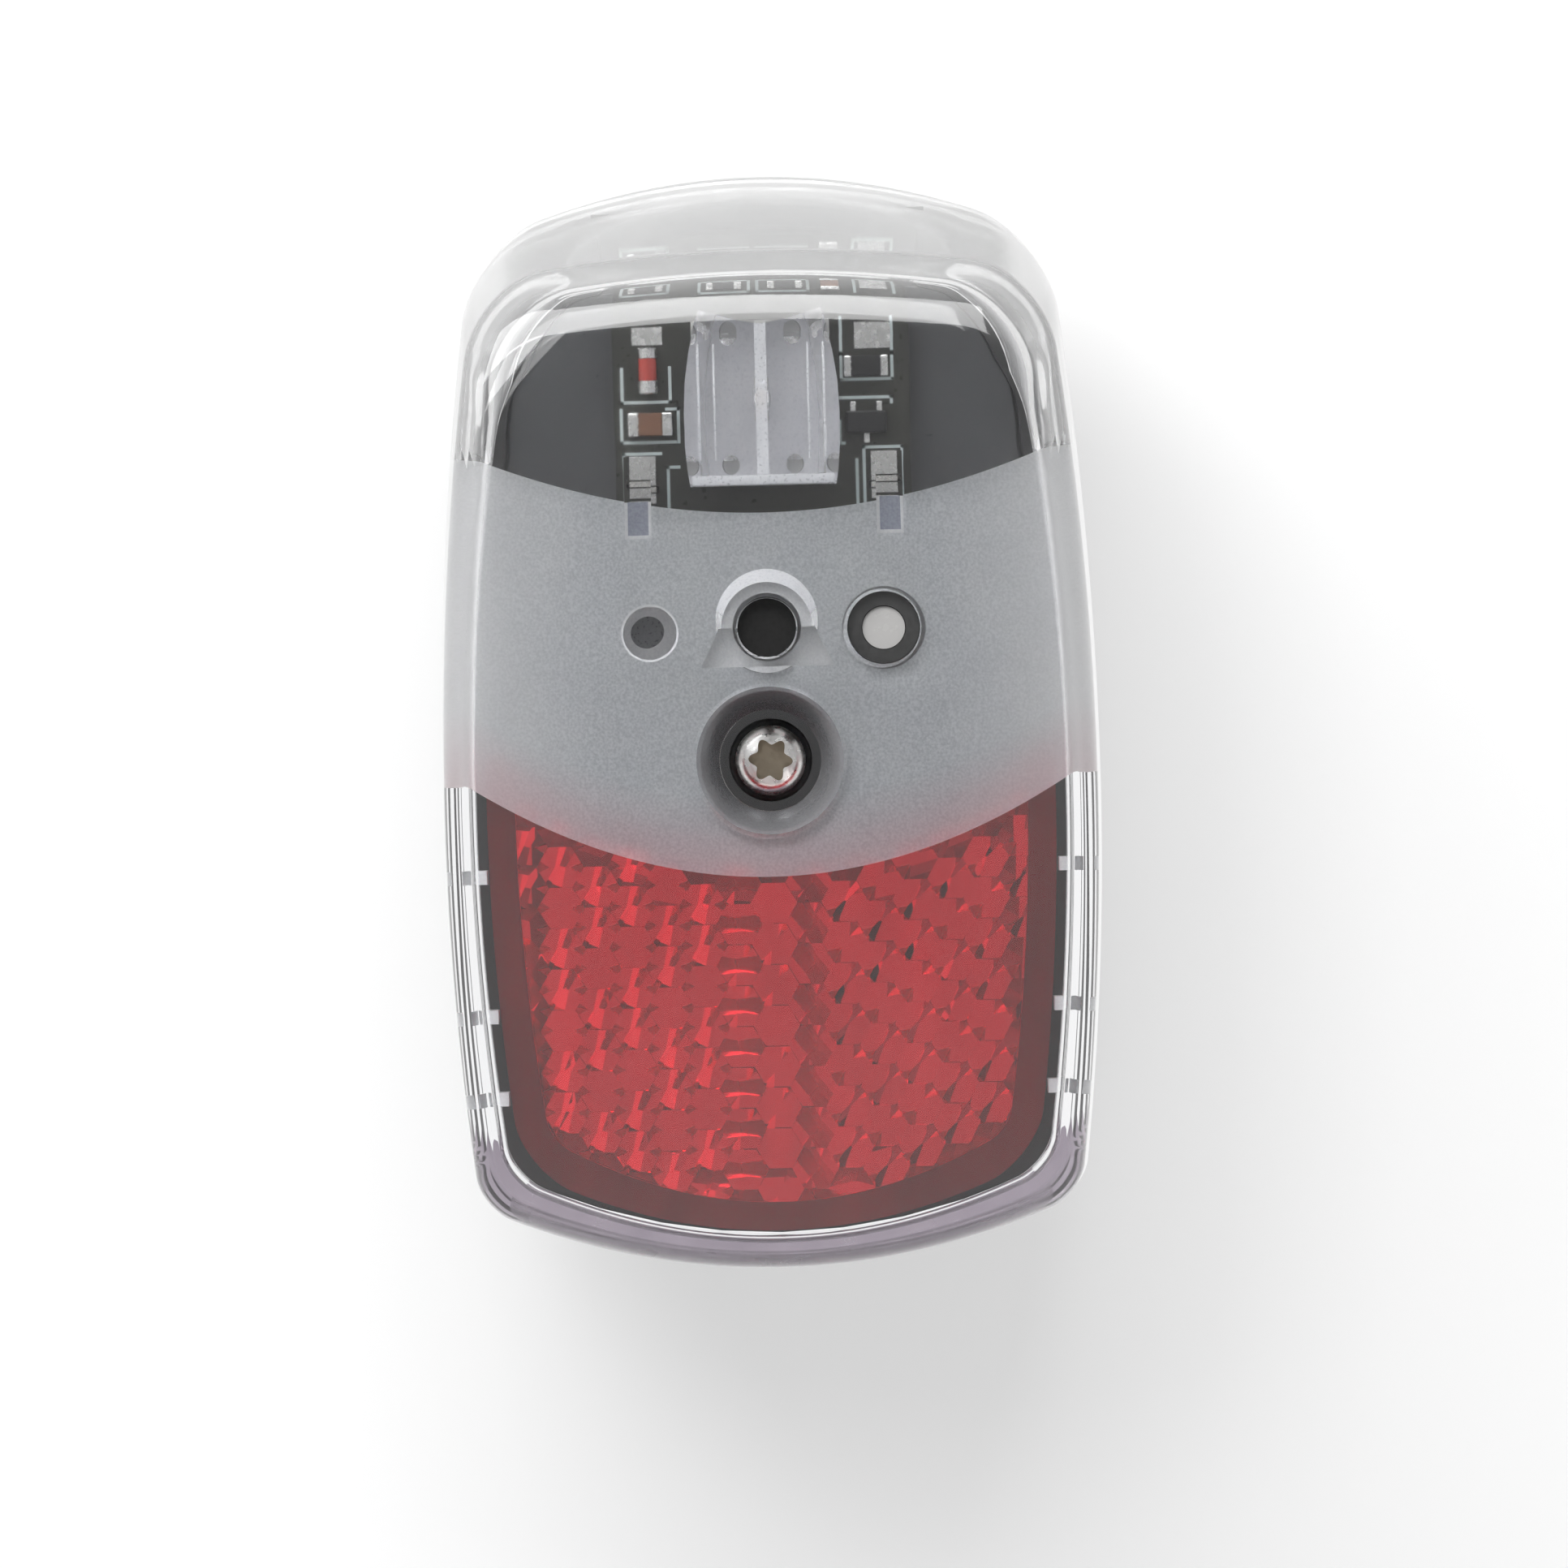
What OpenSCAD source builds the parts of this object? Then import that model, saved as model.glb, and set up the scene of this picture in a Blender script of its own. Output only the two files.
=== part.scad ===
// Rear light for a bicycle, bolted to the mudguard, with two AAA cells inside.
// A clear cover closes over a black base. It carries the red reflector, the push button and the
// light guide, and one screw in a deep well holds it.
// Millimetres. X runs across the lamp, the lens looks along -Y, Z is up.
// The origin is where the axis of the mounting bolt meets the crown of the mudguard.
// In the modules, u is the distance out from the mudguard (u = -y) and z is the height above the
// lowest point of the lamp. The last step lowers everything by bolt_height.

/* [Cover] */
// Greatest width of the cover
cover_w = 47.9; // [47:0.1:51]
// Height of the cover
cover_h = 79; // [78:0.5:83]
// Depth of the cover from its rear edge to its front edge
cover_depth = 27; // [26:0.5:30]
// Thickness of the side wall
cover_wall = 1.9; // [1.6:0.1:2.1]
// Thickness of the front wall
front_wall = 1.8; // [1.6:0.1:2.2]
// How far the middle of the front stands out
front_crown = 1.5; // [1.2:0.1:2.2]
// Height at which the cover is widest
belly_height = 34; // [30:0.5:38]
// How much each side draws in at the top
side_sag_top = 3; // [2.4:0.1:3.4]
// How much each side draws in at the bottom
side_sag_bottom = 1.9; // [1.4:0.1:2]
// Rise of the arched top edge, at the rear
top_sag = 4.8; // [4:0.1:5.2]
// Rise of the arched top edge, at the front
front_sag = 1.4; // [1:0.1:2.4]
// Rise of the arched bottom edge
bottom_sag = 4.8; // [4.2:0.1:5]
// Corner radius at the top
top_corner = 6; // [4:0.5:7]
// Corner radius at the bottom
bottom_corner = 2.5; // [2:0.5:4]
// Draft of each side over the depth
side_draft = 0.6; // [0.4:0.1:0.8]
// Draft of the bottom over the depth
bottom_draft = 0.3; // [0.2:0.1:0.5]
// Fall of the roof towards the front
roof_fall = 7; // [6:0.1:7.4]
// Depth over which the front edge is rounded
edge_depth = 3.5; // [3:0.1:4]
// How far the rounding draws the sides in
side_round = 1.5; // [1.2:0.1:2]
// How far the rounding draws the top in
top_round = 5.5; // [4:0.1:6]
// How far the rounding draws the bottom in
bottom_round = 1.4; // [1:0.1:1.6]

/* [Base and mudguard] */
// Radius across the crown of the mudguard
guard_r = 32; // [31:0.5:38]
// Radius along the mudguard, about the wheel
wheel_r = 350; // [300:5:400]
// Height of the mounting bolt above the cover screw
bolt_rise = 13.4; // [11.4:0.1:14.4]
// Diameter of the bolt's clearance hole
bolt_hole_d = 5.5; // [5.3:0.1:5.8]
// Distance of the cover's rear edge from the mudguard's crown
cover_rear = 8; // [7:0.1:8.2]
// Distance of the base's front rim from the mudguard's crown
base_front = 14.6; // [14.4:0.1:15.2]
// Wall of the base round the carrier
base_wall = 1.4; // [1.2:0.1:1.6]
// Width of the ledge that the carrier sits on
ledge_w = 1.3; // [1:0.1:1.4]
// Thickness of the saddle floor
floor_t = 2.2; // [1.8:0.1:2.3]
// How much the base narrows for each millimetre towards the mudguard
base_taper = 0.12; // [0.05:0.01:0.15]
// Width of the captive nut across its flats
nut_flats = 8; // [7.8:0.1:8.2]
// Thickness of the captive nut
nut_t = 4; // [3.5:0.1:4.7]
// Thread bore of the captive nut
nut_bore_d = 4.2; // [4:0.1:4.4]

/* [Board] */
// Thickness of the carrier plate
carrier_t = 1.8; // [1.4:0.1:2]
// Height of the board's stand-offs
standoff_h = 1.4; // [1.2:0.1:2]
// Width of the circuit board
board_w = 21.5; // [20.5:0.1:22]
// Height of the circuit board
board_h = 31.5; // [30:0.1:32]
// Distance of the board's upper edge below the top of the cover
board_drop = 5.5; // [5:0.1:6.5]
// Thickness of the board
board_t = 1.6; // [1:0.2:1.6]

/* [Lamp] */
// Distance of the lamp's axis below the board's upper edge
led_drop = 10.9; // [10.5:0.1:11.5]
// Side of the lamp's square body
led_side = 3.2; // [2.8:0.1:3.5]
// Width of the optic block
optic_w = 11.2; // [10.6:0.1:11.6]
// Height of the optic block
optic_h = 12.6; // [12:0.1:12.8]
// Depth of the optic block
optic_depth = 9; // [8:0.5:11]

/* [Reflector] */
// Width of the reflector plate
reflector_w = 40.6; // [39.4:0.1:40.8]
// Height of its lowest point
reflector_z0 = 3; // [2.9:0.1:3.6]
// Thickness of the plate
reflector_t = 1.8; // [1.4:0.1:2.2]
// Width of the plain border
reflector_border = 2.6; // [2.2:0.1:3]
// Distance between neighbouring cells
cell_pitch = 2.93; // [2.7:0.01:3.4]
// Distance of the middle of the hollow upper edge below the cover screw
reflector_dip = 5.6; // [5.3:0.1:6.6]
// Radius of the hollow upper edge
reflector_arc = 31.8; // [29:0.1:36]

/* [Cover screw] */
// Distance of the cover screw below the button
screw_drop = 9.5; // [9.2:0.1:10]
// Diameter of the screw's head
screw_head_d = 5.06; // [4.8:0.02:5.4]
// Height of the screw's head
screw_head_h = 2.2; // [2:0.1:2.6]
// Outer diameter of the thread
screw_d = 2.9; // [2.7:0.1:3]
// Length of the screw under its head
screw_len = 14; // [12:0.5:14.5]
// Pitch of the thread
screw_pitch = 1.1; // [0.9:0.05:1.3]
// Inner diameter of the well
well_d = 7.3; // [7:0.1:7.8]
// Diameter of the well's mouth in the front face
mouth_d = 10.9; // [10.2:0.1:11.2]
// Depth of the flare in the well's mouth
mouth_depth = 3.4; // [2.6:0.1:3.6]
// Distance of the well's floor from the mudguard's crown
well_floor = 19; // [18.8:0.1:20]

/* [Button] */
// Distance of the button below the lamp's axis
button_drop = 16.5; // [16.2:0.1:16.8]
// Diameter of the button
button_d = 4.3; // [4:0.1:4.6]
// How deep the button sits in its hole
button_recess = 1.4; // [1:0.1:1.8]
// Travel of the button
button_travel = 0.5; // [0.3:0.05:0.6]
// Side of the push switch
switch_side = 6; // [5.6:0.1:6.2]

/* [Sensor] */
// Sideways place of the light guide
guide_x = 8.35; // [8:0.05:8.5]
// Distance of the light guide below the button
guide_drop = 0.2; // [-0.1:0.1:0.5]
// Diameter of the light guide
guide_d = 3.06; // [2.8:0.02:3.3]
// Outer diameter of the sleeve round the guide
sleeve_d = 5.1; // [4.9:0.1:5.3]
// Diameter of the cover's locating pin
pin_d = 3.8; // [3.4:0.1:4]

/* [Cells] */
// Diameter of a cell
battery_d = 10.5; // [10.1:0.1:10.5]
// Length of a cell with its button
battery_len = 44.5; // [43.5:0.1:44.5]
// Gap between a cell and the wall of the base
battery_side = 0.15; // [0.1:0.05:0.3]
// Gap between the cells and the carrier in front of them
battery_front = 0.45; // [0.4:0.05:0.55]
// Height of the cells' lower ends
battery_z0 = 11.2; // [11.1:0.1:11.4]

/* [Board parts] */
// Length of a large chip part
chip_l = 3.2; // [3:0.1:3.4]
// Width of a large chip part
chip_w = 1.6; // [1.4:0.1:1.8]
// Length of a small chip part
small_l = 2.6; // [2.4:0.1:2.8]
// Width of a small chip part
small_w = 1.3; // [1.1:0.1:1.5]
// Thickness of a resistor
resistor_t = 0.6; // [0.5:0.05:0.7]
// Thickness of the large capacitor
capacitor_t = 1.2; // [1:0.1:1.4]
// Length of the diode
diode_l = 3.4; // [3.2:0.1:3.6]
// Diameter of the diode
diode_d = 1.4; // [1.2:0.1:1.6]
// Distance of the contacts' tabs below the board's upper edge
tab_drop = 17.4; // [17:0.1:17.6]
// Distance of the contacts' tabs from the sides of the board
tab_side = 2.05; // [1.9:0.05:2.4]
// Radius of the contacts' dimples
dimple_r = 1.2; // [1:0.1:1.6]

/* [Fits] */
// Gap between the cover's skirt and the base
skirt_gap = 0.35; // [0.3:0.05:0.45]
// Gap between the cover's skirt and the seal
seal_gap = 0.12; // [0.1:0.01:0.16]
// Radial gap of pieces that move in one another
slide_gap = 0.05; // [0.04:0.01:0.1]
// Gap between pieces that are fixed side by side
part_gap = 0.2; // [0.15:0.05:0.3]

/* [Hidden] */
$fn = 64;
corner_steps = 6;
side_steps = 8;
end_steps = 8;

front_edge = cover_rear + cover_depth;
cover_face = front_edge + front_crown;
face_mid = front_edge + front_crown * 0.5 - front_wall * 0.2;
base_inset = cover_wall + skirt_gap;
tub_inset = base_inset + base_wall;
low_inset = tub_inset + ledge_w;
ledge_u = base_front - 2.6;
rim_d = base_front - cover_rear;
seal_back = 1.2;
seal_t = 1.5;
seal_u0 = cover_rear + seal_back;
seal_u1 = seal_u0 + seal_t;
seal_groove = 0.75;
seal_d = seal_u1 - cover_rear;
carrier_u1 = ledge_u + carrier_t;
board_u0 = carrier_u1 + standoff_h;
board_u1 = board_u0 + board_t;
board_z1 = cover_h - board_drop;
board_z0 = board_z1 - board_h;
led_z = board_z1 - led_drop;
button_z = led_z - button_drop;
guide_z = button_z - guide_drop;
screw_z = button_z - screw_drop;
bolt_height = screw_z + bolt_rise;
nut_u0 = 3;
nut_u1 = nut_u0 + nut_t;
optic_u0 = board_u1 + 0.6;
optic_u1 = board_u1 + optic_depth;
reflector_u1 = cover_rear + cover_depth - front_wall - 0.9;
reflector_u0 = reflector_u1 - reflector_t;
dip_z = screw_z - reflector_dip + reflector_arc;
cell_r = (cell_pitch - 0.15) / sqrt(3);
cell_h = cell_r * sqrt(2) + 0.25;
well_wall = 1.2;
tube_end = well_floor - 1.5;
ring_r = 0.75;
ring_mid = screw_d / 2 + ring_r + slide_gap;
head_seat = well_floor + 2 * ring_r;
switch_h = 3;
plunger_d = 3.4;
plunger_out = 1.4;
plunger_u1 = board_u1 + switch_h + plunger_out;
stem_u0 = plunger_u1 + slide_gap;
button_u1 = cover_face - front_crown * 0.1 - button_recess;
collar_u0 = front_edge - 6;
sensor_h = 1;
guide_u0 = board_u1 + sensor_h + part_gap;
sleeve_u1 = cover_face - 1.4;
tab_x = board_w / 2 - tab_side;
peg_x = tab_x + 0.3;
peg_w = 2.3;
peg_end = board_u1 + 0.3;
tab_w = 1.8;
tab_z = board_z1 - tab_drop;
peg_z0 = tab_z - 3.5;
peg_z1 = tab_z + 2.4;
battery_x = cover_w / 2 - low_inset - side_sag_bottom - battery_side - battery_d / 2;
battery_u = ledge_u - battery_front - battery_d / 2;
contact_t = 0.4;
contact_gap = 0.4;
cell_top = battery_z0 + battery_len;
plate_z = cell_top + contact_gap;
strip_u = carrier_u1 + 0.4;
bridge_z = battery_z0 - 1;
hook_x = 9.8;
hook_w = 3.8;
rib_heights = [28.7, 18.7, 12.8];
hook_z0 = roof_z(hook_x + hook_w / 2, rim_d, tub_inset);

// Points of an arc about a centre
function arc_points(cx, cz, r, a0, a1, n) = [
    for (i = [0:n])
        let (a = a0 + (a1 - a0) * i / n)
            [cx + r * cos(a), cz + r * sin(a)]
];

// Points between two corners, without the corners
function edge_points(p, q, n) = [
    for (i = [1:n - 1])
        p + (q - p) * i / n
];

// A rectangle with rounded corners, from its half width and its two heights
function round_rect(w, zb, zt, rb, rt) = concat(
    arc_points(w - rb, zb + rb, rb, -90, 0, corner_steps),
    edge_points([w, zb + rb], [w, zt - rt], side_steps),
    arc_points(w - rt, zt - rt, rt, 0, 90, corner_steps),
    edge_points([w - rt, zt], [rt - w, zt], end_steps),
    arc_points(rt - w, zt - rt, rt, 90, 180, corner_steps),
    edge_points([-w, zt - rt], [-w, zb + rb], side_steps),
    arc_points(rb - w, zb + rb, rb, 180, 270, corner_steps),
    edge_points([rb - w, zb], [w - rb, zb], end_steps)
);

// Bends the straight edges of that rectangle into the barrel shape of the lamp
function bulged(p, w, zb, zt, sag) =
    let (
        up = p[1] > belly_height,
        v = up ? (p[1] - belly_height) / (zt - belly_height) : (belly_height - p[1]) / (belly_height - zb),
        s = p[0] / w,
        side = up ? side_sag_top : side_sag_bottom
    )
    [
        p[0] * (1 - side / w * v * v),
        p[1] + (up ? -sag : bottom_sag) * s * s * v
    ];

// The barrel outline
function barrel(w, zb, zt, rb, rt, sag) = [
    for (p = round_rect(w, zb, zt, rb, rt))
        bulged(p, w, zb, zt, sag)
];

// Rise of the arched top edge at a depth in front of the cover's rear edge
function sag_at(d) = top_sag + (front_sag - top_sag) * max(d, 0) / cover_depth;

// Fall of the roof at a depth in front of the cover's rear edge
function fall(d) = roof_fall * pow(max(d, 0) / cover_depth, 1.3);

// Outline of the cover at a depth, drawn in by an inset, with a share of the front rounding
function cover_section(d, inset, part) = barrel(
    cover_w / 2 - inset - side_draft * max(d, 0) / cover_depth - side_round * part,
    inset + bottom_draft * max(d, 0) / cover_depth + bottom_round * part,
    cover_h - inset - fall(d) - top_round * part,
    bottom_corner,
    top_corner,
    sag_at(d)
);

// Height of the roof and of the bottom wall above a place across the lamp
function roof_z(x, d, inset) =
    cover_h - inset - fall(d) - sag_at(d) * pow(x / (cover_w / 2 - inset - side_sag_top), 2);
function bottom_z(x, inset) =
    inset + bottom_sag * pow(x / (cover_w / 2 - inset - side_sag_bottom), 2);

// Half width of the lower part at a height, for an outline of half width w that starts at zb
function half_at(z, w, zb) =
    w - side_sag_bottom * pow((belly_height - z) / (belly_height - zb - bottom_sag), 2);

// An outline set at a distance from the mudguard
function ring_at(points, u) = [
    for (p = points)
        [p[0], -u, p[1]]
];

// An outline shrunk about its middle
function shrunk(points, mid, s) = [
    for (p = points)
        [p[0] * s, mid + (p[1] - mid) * s]
];

// The rings of the cover's skin, from the rear edge to near the middle of the front
function cover_rings(inset, back, front) =
    let (
        depth = cover_depth - front,
        run = depth - edge_depth,
        last = cover_section(depth, inset, 1),
        mid = cover_mid(inset, depth)
    )
    concat(
        [ring_at(cover_section(-back, inset, 0), cover_rear - back)],
        [
            for (i = [back > 0 ? 0 : 1:5])
                ring_at(cover_section(run * i / 5, inset, 0), cover_rear + run * i / 5)
        ],
        [
            for (a = [22.5:22.5:90])
                let (d = run + edge_depth * sin(a))
                    ring_at(cover_section(d, inset, 1 - cos(a)), cover_rear + d)
        ],
        [
            for (s = [0.78, 0.52, 0.26])
                ring_at(shrunk(last, mid, s), cover_rear + depth + front_crown * (1 - s * s))
        ]
    );
function cover_mid(inset, depth) =
    (cover_h - fall(depth) - top_round + bottom_draft * depth / cover_depth + bottom_round) / 2;

// A solid through a row of rings, closed flat behind and to a point in front
module loft(rings, tip) {
    n = len(rings[0]);
    m = len(rings);
    polyhedron(
        points = concat([for (r = rings) each r], [tip]),
        faces = concat(
            [[for (i = [0:n - 1]) i]],
            [for (k = [0:m - 2], i = [0:n - 1]) [k * n + i, (k + 1) * n + i, (k + 1) * n + (i + 1) % n]],
            [for (k = [0:m - 2], i = [0:n - 1]) [k * n + i, (k + 1) * n + (i + 1) % n, k * n + (i + 1) % n]],
            [for (i = [0:n - 1]) [(m - 1) * n + (i + 1) % n, (m - 1) * n + i, m * n]]
        )
    );
}

// A flat shape drawn in X and Z, from u0 to u1
module slab(u0, u1) {
    translate([0, -u0, 0])
        rotate([90, 0, 0])
            linear_extrude(height = u1 - u0)
                children();
}

// A rod that points out from the mudguard
module rod(x, z, u0, u1, r) {
    translate([x, -u0, z])
        rotate([90, 0, 0])
            cylinder(h = u1 - u0, r = r);
}

// A box from two corners
module block(x0, x1, u0, u1, z0, z1) {
    translate([x0, -u1, z0])
        cube([x1 - x0, u1 - u0, z1 - z0]);
}

// The mudguard, grown by a thickness
module mudguard(grow) {
    translate([0, wheel_r, bolt_height])
        rotate([0, 90, 0])
            rotate_extrude($fn = 256)
                translate([wheel_r - guard_r, 0])
                    circle(r = guard_r + grow);
}

// Lowers a finished piece so that the bolt lies on the X axis
module placed() {
    translate([0, 0, -bolt_height])
        children();
}

// The cover's skin, as a filled body
module cover_body(inset, back, front) {
    depth = cover_depth - front;
    loft(
        cover_rings(inset, back, front),
        [0, -(cover_rear + depth + front_crown), cover_mid(inset, depth)]
    );
}

// The clear shoulder below the button
module button_bell() {
    slab(collar_u0 + 2, face_mid)
        polygon([
            [-button_d * 0.8, button_z],
            [button_d * 0.8, button_z],
            [button_d * 1.1, button_z - button_d * 0.65],
            [-button_d * 1.1, button_z - button_d * 0.65]
        ]);
}

// The flare of the screw's well, run on a little past the front face
module well_flare() {
    over = 0.5;
    slope = (mouth_d - well_d) / 2 / mouth_depth;
    translate([0, mouth_depth - cover_face, screw_z])
        rotate([90, 0, 0])
            cylinder(h = mouth_depth + over, r1 = well_d / 2, r2 = mouth_d / 2 + over * slope);
}

// What stands inside the cover
module cover_fittings() {
    rod(0, screw_z, tube_end, face_mid, well_d / 2 + well_wall);
    rod(0, screw_z, cover_face - mouth_depth - 0.5, face_mid, mouth_d / 2 + well_wall);
    rod(0, button_z, collar_u0, face_mid, button_d / 2 + slide_gap + 1.25);
    button_bell();
    rod(guide_x, guide_z, collar_u0, face_mid, sleeve_d / 2 + slide_gap + 0.8);
    rod(-guide_x, guide_z, peg_end, face_mid, pin_d / 2);
    rod(-guide_x, guide_z, board_u0 + 0.4, peg_end + 1, pin_d / 2 - 0.8);
    for (side = [-1, 1]) {
        block(side * peg_x - peg_w / 2, side * peg_x + peg_w / 2, peg_end, face_mid - 0.3, peg_z0, peg_z1);
        block(
            side * hook_x - hook_w / 2,
            side * hook_x + hook_w / 2,
            ledge_u + part_gap,
            board_u0 - part_gap,
            hook_z0,
            roof_z(hook_x + hook_w / 2, rim_d, cover_wall * 0.6)
        );
        for (z = rib_heights) {
            edge = half_at(z, reflector_w / 2, reflector_z0) + part_gap;
            wall = half_at(z, cover_w / 2 - cover_wall * 0.4 - side_draft, cover_wall);
            block(
                side > 0 ? edge : -wall,
                side > 0 ? wall : -edge,
                reflector_u0 - 4,
                reflector_u0 + 0.6,
                z - 0.5,
                z + 0.5
            );
        }
    }
}

module lens_cover() {
    color([0.92, 0.94, 0.95, 0.45])
        placed()
            difference() {
                union() {
                    difference() {
                        cover_body(0, 0, 0);
                        cover_body(cover_wall, 1, front_wall);
                    }
                    cover_fittings();
                }
                rod(0, screw_z, well_floor, cover_face + 1, well_d / 2);
                well_flare();
                rod(0, screw_z, tube_end - 1, well_floor + 1, screw_d / 2 + 0.15);
                rod(0, button_z, collar_u0 - 1, cover_face + 1, button_d / 2 + slide_gap);
                rod(guide_x, guide_z, collar_u0 - 1, cover_face + 1, sleeve_d / 2 + slide_gap);
                slab(reflector_u0 - part_gap, reflector_u1 + part_gap / 2)
                    reflector_outline(-part_gap / 2);
            }
}

// The reflector's outline, drawn in by a border
module reflector_outline(border) {
    difference() {
        polygon(barrel(reflector_w / 2 - border, reflector_z0 + border, dip_z, 4 - border / 2, 4, top_sag));
        translate([0, dip_z])
            circle(r = reflector_arc + border);
        translate([0, screw_z])
            circle(r = well_d / 2 + well_wall + part_gap);
    }
}

// One corner-cube cell on the rear of the plate
module corner_cell(x, z) {
    ring = [for (k = [0:5]) [x + cell_r * cos(60 * k), z + cell_r * sin(60 * k)]];
    low = -reflector_u0 - 0.1;
    tip = -reflector_u0 + cell_h;
    polyhedron(
        points = concat(
            [for (p = ring) [p[0], low, p[1]]],
            [for (k = [0:5]) [ring[k][0], tip - cell_r * (1 + k % 2) / sqrt(2), ring[k][1]]],
            [[x, tip, z]]
        ),
        faces = concat(
            [[5, 4, 3, 2, 1, 0]],
            [for (k = [0:5]) [k, (k + 1) % 6, 6 + (k + 1) % 6]],
            [for (k = [0:5]) [k, 6 + (k + 1) % 6, 6 + k]],
            [for (k = [0:5]) [12, 6 + k, 6 + (k + 1) % 6]]
        )
    );
}

// Whether a cell stands clear of the plain border
function cell_fits(x, z) =
    abs(x) < half_at(z, reflector_w / 2, reflector_z0) - reflector_border - cell_r
    && z > reflector_z0 + reflector_border + cell_pitch / 2
        + bottom_sag * pow(x / (reflector_w / 2 - side_sag_bottom), 2)
    && norm([x, z - dip_z]) > reflector_arc + reflector_border + cell_pitch / 2;

module reflector_plate() {
    columns = floor(reflector_w / 2 / (cell_pitch * 0.866));
    rows = ceil(dip_z / cell_pitch);
    color([0.72, 0.05, 0.08])
        placed()
            union() {
                slab(reflector_u0, reflector_u1)
                    reflector_outline(0);
                for (i = [-columns:columns], j = [0:rows]) {
                    x = i * cell_pitch * sqrt(3) / 2;
                    z = cell_pitch * (j + abs(i % 2) / 2);
                    if (cell_fits(x, z))
                        corner_cell(x, z);
                }
            }
}

// Room for the cover's two hooks in what lies under its roof
module hook_notches() {
    for (side = [-1, 1])
        block(
            side * hook_x - hook_w / 2 - part_gap,
            side * hook_x + hook_w / 2 + part_gap,
            ledge_u,
            base_front + 1,
            hook_z0 - part_gap,
            cover_h
        );
}

// The outside of the base before the mudguard is taken out of it
module base_body() {
    loft(
        [
            for (u = [-14, cover_rear, (cover_rear + base_front) / 2, base_front])
                ring_at(
                    cover_section(u - cover_rear, base_inset + base_taper * max(cover_rear - u, 0), 0),
                    u
                )
        ],
        [0, -base_front, cover_h / 2]
    );
}

// The hollow of the base, above the saddle floor
module base_hollow() {
    difference() {
        union() {
            slab(ledge_u, base_front + 1)
                polygon(cover_section(rim_d, tub_inset, 0));
            slab(-12, ledge_u + 0.5)
                polygon(cover_section(rim_d, low_inset, 0));
        }
        mudguard(floor_t);
    }
}

// Bosses, cradles and contact seats inside the base
module base_fittings() {
    rod(0, screw_z, 1, tube_end - 0.1, 4.2);
    rod(0, bolt_height, 1, nut_u1 + 0.4, nut_flats / 2 + 2);
    difference() {
        for (side = [-1, 1]) {
            for (z = [battery_z0 + 8.8, cell_top - 14.7])
                block(side * battery_x - 5, side * battery_x + 5, -9, battery_u, z, z + 1.6);
            block(
                side * battery_x - 4.4, side * battery_x + 4.4, -9, ledge_u,
                plate_z + contact_t, plate_z + contact_t + 1.4
            );
        }
        mudguard(floor_t / 2);
    }
    for (side = [-1, 1])
        block(
            side * battery_x - 2.4,
            side * battery_x + 2.4,
            battery_u - 3,
            battery_u + 3,
            bottom_z(battery_x - 2.4, low_inset),
            bridge_z
        );
}

// Room for the two cells in the base
module cell_room() {
    for (side = [-1, 1])
        translate([side * battery_x, -battery_u, battery_z0 - 0.1])
            cylinder(h = plate_z - battery_z0 + 0.1, r = battery_d / 2 + 0.1);
}

module base_housing() {
    color([0.09, 0.09, 0.1])
        placed()
            difference() {
                union() {
                    difference() {
                        base_body();
                        base_hollow();
                        mudguard(0);
                    }
                    base_fittings();
                }
                slab(seal_u0, seal_u1)
                    difference() {
                        polygon(cover_section(0, 0, 0));
                        polygon(cover_section(seal_d, base_inset + seal_groove, 0));
                    }
                hook_notches();
                cell_room();
                rod(0, bolt_height, -1, nut_u1 + 1, bolt_hole_d / 2);
                translate([0, -nut_u0, bolt_height])
                    rotate([90, 30, 0])
                        cylinder(h = nut_t + 2, r = (nut_flats + 0.1) / sqrt(3), $fn = 6);
                rod(0, screw_z, head_seat - screw_len - 1, base_front + 6, screw_d / 2 + slide_gap);
            }
}

module cover_seal() {
    color([0.16, 0.16, 0.17])
        placed()
            slab(seal_u0, seal_u1)
                difference() {
                    polygon(cover_section(seal_d, cover_wall + seal_gap, 0));
                    polygon(cover_section(seal_d, base_inset + seal_groove, 0));
                }
}

module board_carrier() {
    color([0.2, 0.2, 0.21])
        placed()
            difference() {
                union() {
                    slab(ledge_u, carrier_u1)
                        polygon(cover_section(rim_d, tub_inset + part_gap, 0));
                    for (side = [-1, 1], z = [board_z0 + 1.6, board_z1 - 3.4])
                        rod(side * (board_w / 2 - 1.7), z, ledge_u, board_u0, 1.5);
                }
                rod(0, screw_z, 0, board_u0, 4.2 + part_gap);
                hook_notches();
                for (side = [-1, 1])
                    block(
                        side * tab_x - tab_w / 2 - 0.4, side * tab_x + tab_w / 2 + 0.4, 0, board_u0,
                        plate_z - 0.3, plate_z + contact_t + 0.3
                    );
            }
}

module circuit_board() {
    color([0.13, 0.14, 0.12])
        placed()
            difference() {
                block(-board_w / 2, board_w / 2, board_u0, board_u1, board_z0, board_z1);
                rod(-guide_x, guide_z, 0, board_u1 + 1, pin_d / 2 - 0.8 + 0.1);
                for (side = [-1, 1])
                    tab_slot(side);
            }
}

// The slot in the board for the tab of a contact
module tab_slot(side) {
    block(
        side * tab_x - tab_w / 2 - part_gap, side * tab_x + tab_w / 2 + part_gap, 0, board_u1 + 1,
        tab_z - part_gap / 2, tab_z + contact_t + part_gap / 2
    );
}

// The height of a place on the board, from its upper edge down
function down(drop) = board_z1 - drop;

// A pad of solder on the front of the board
module pad(x, z, w, h) {
    block(x - w / 2, x + w / 2, board_u1, board_u1 + 0.08, z - h / 2, z + h / 2);
}

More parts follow.
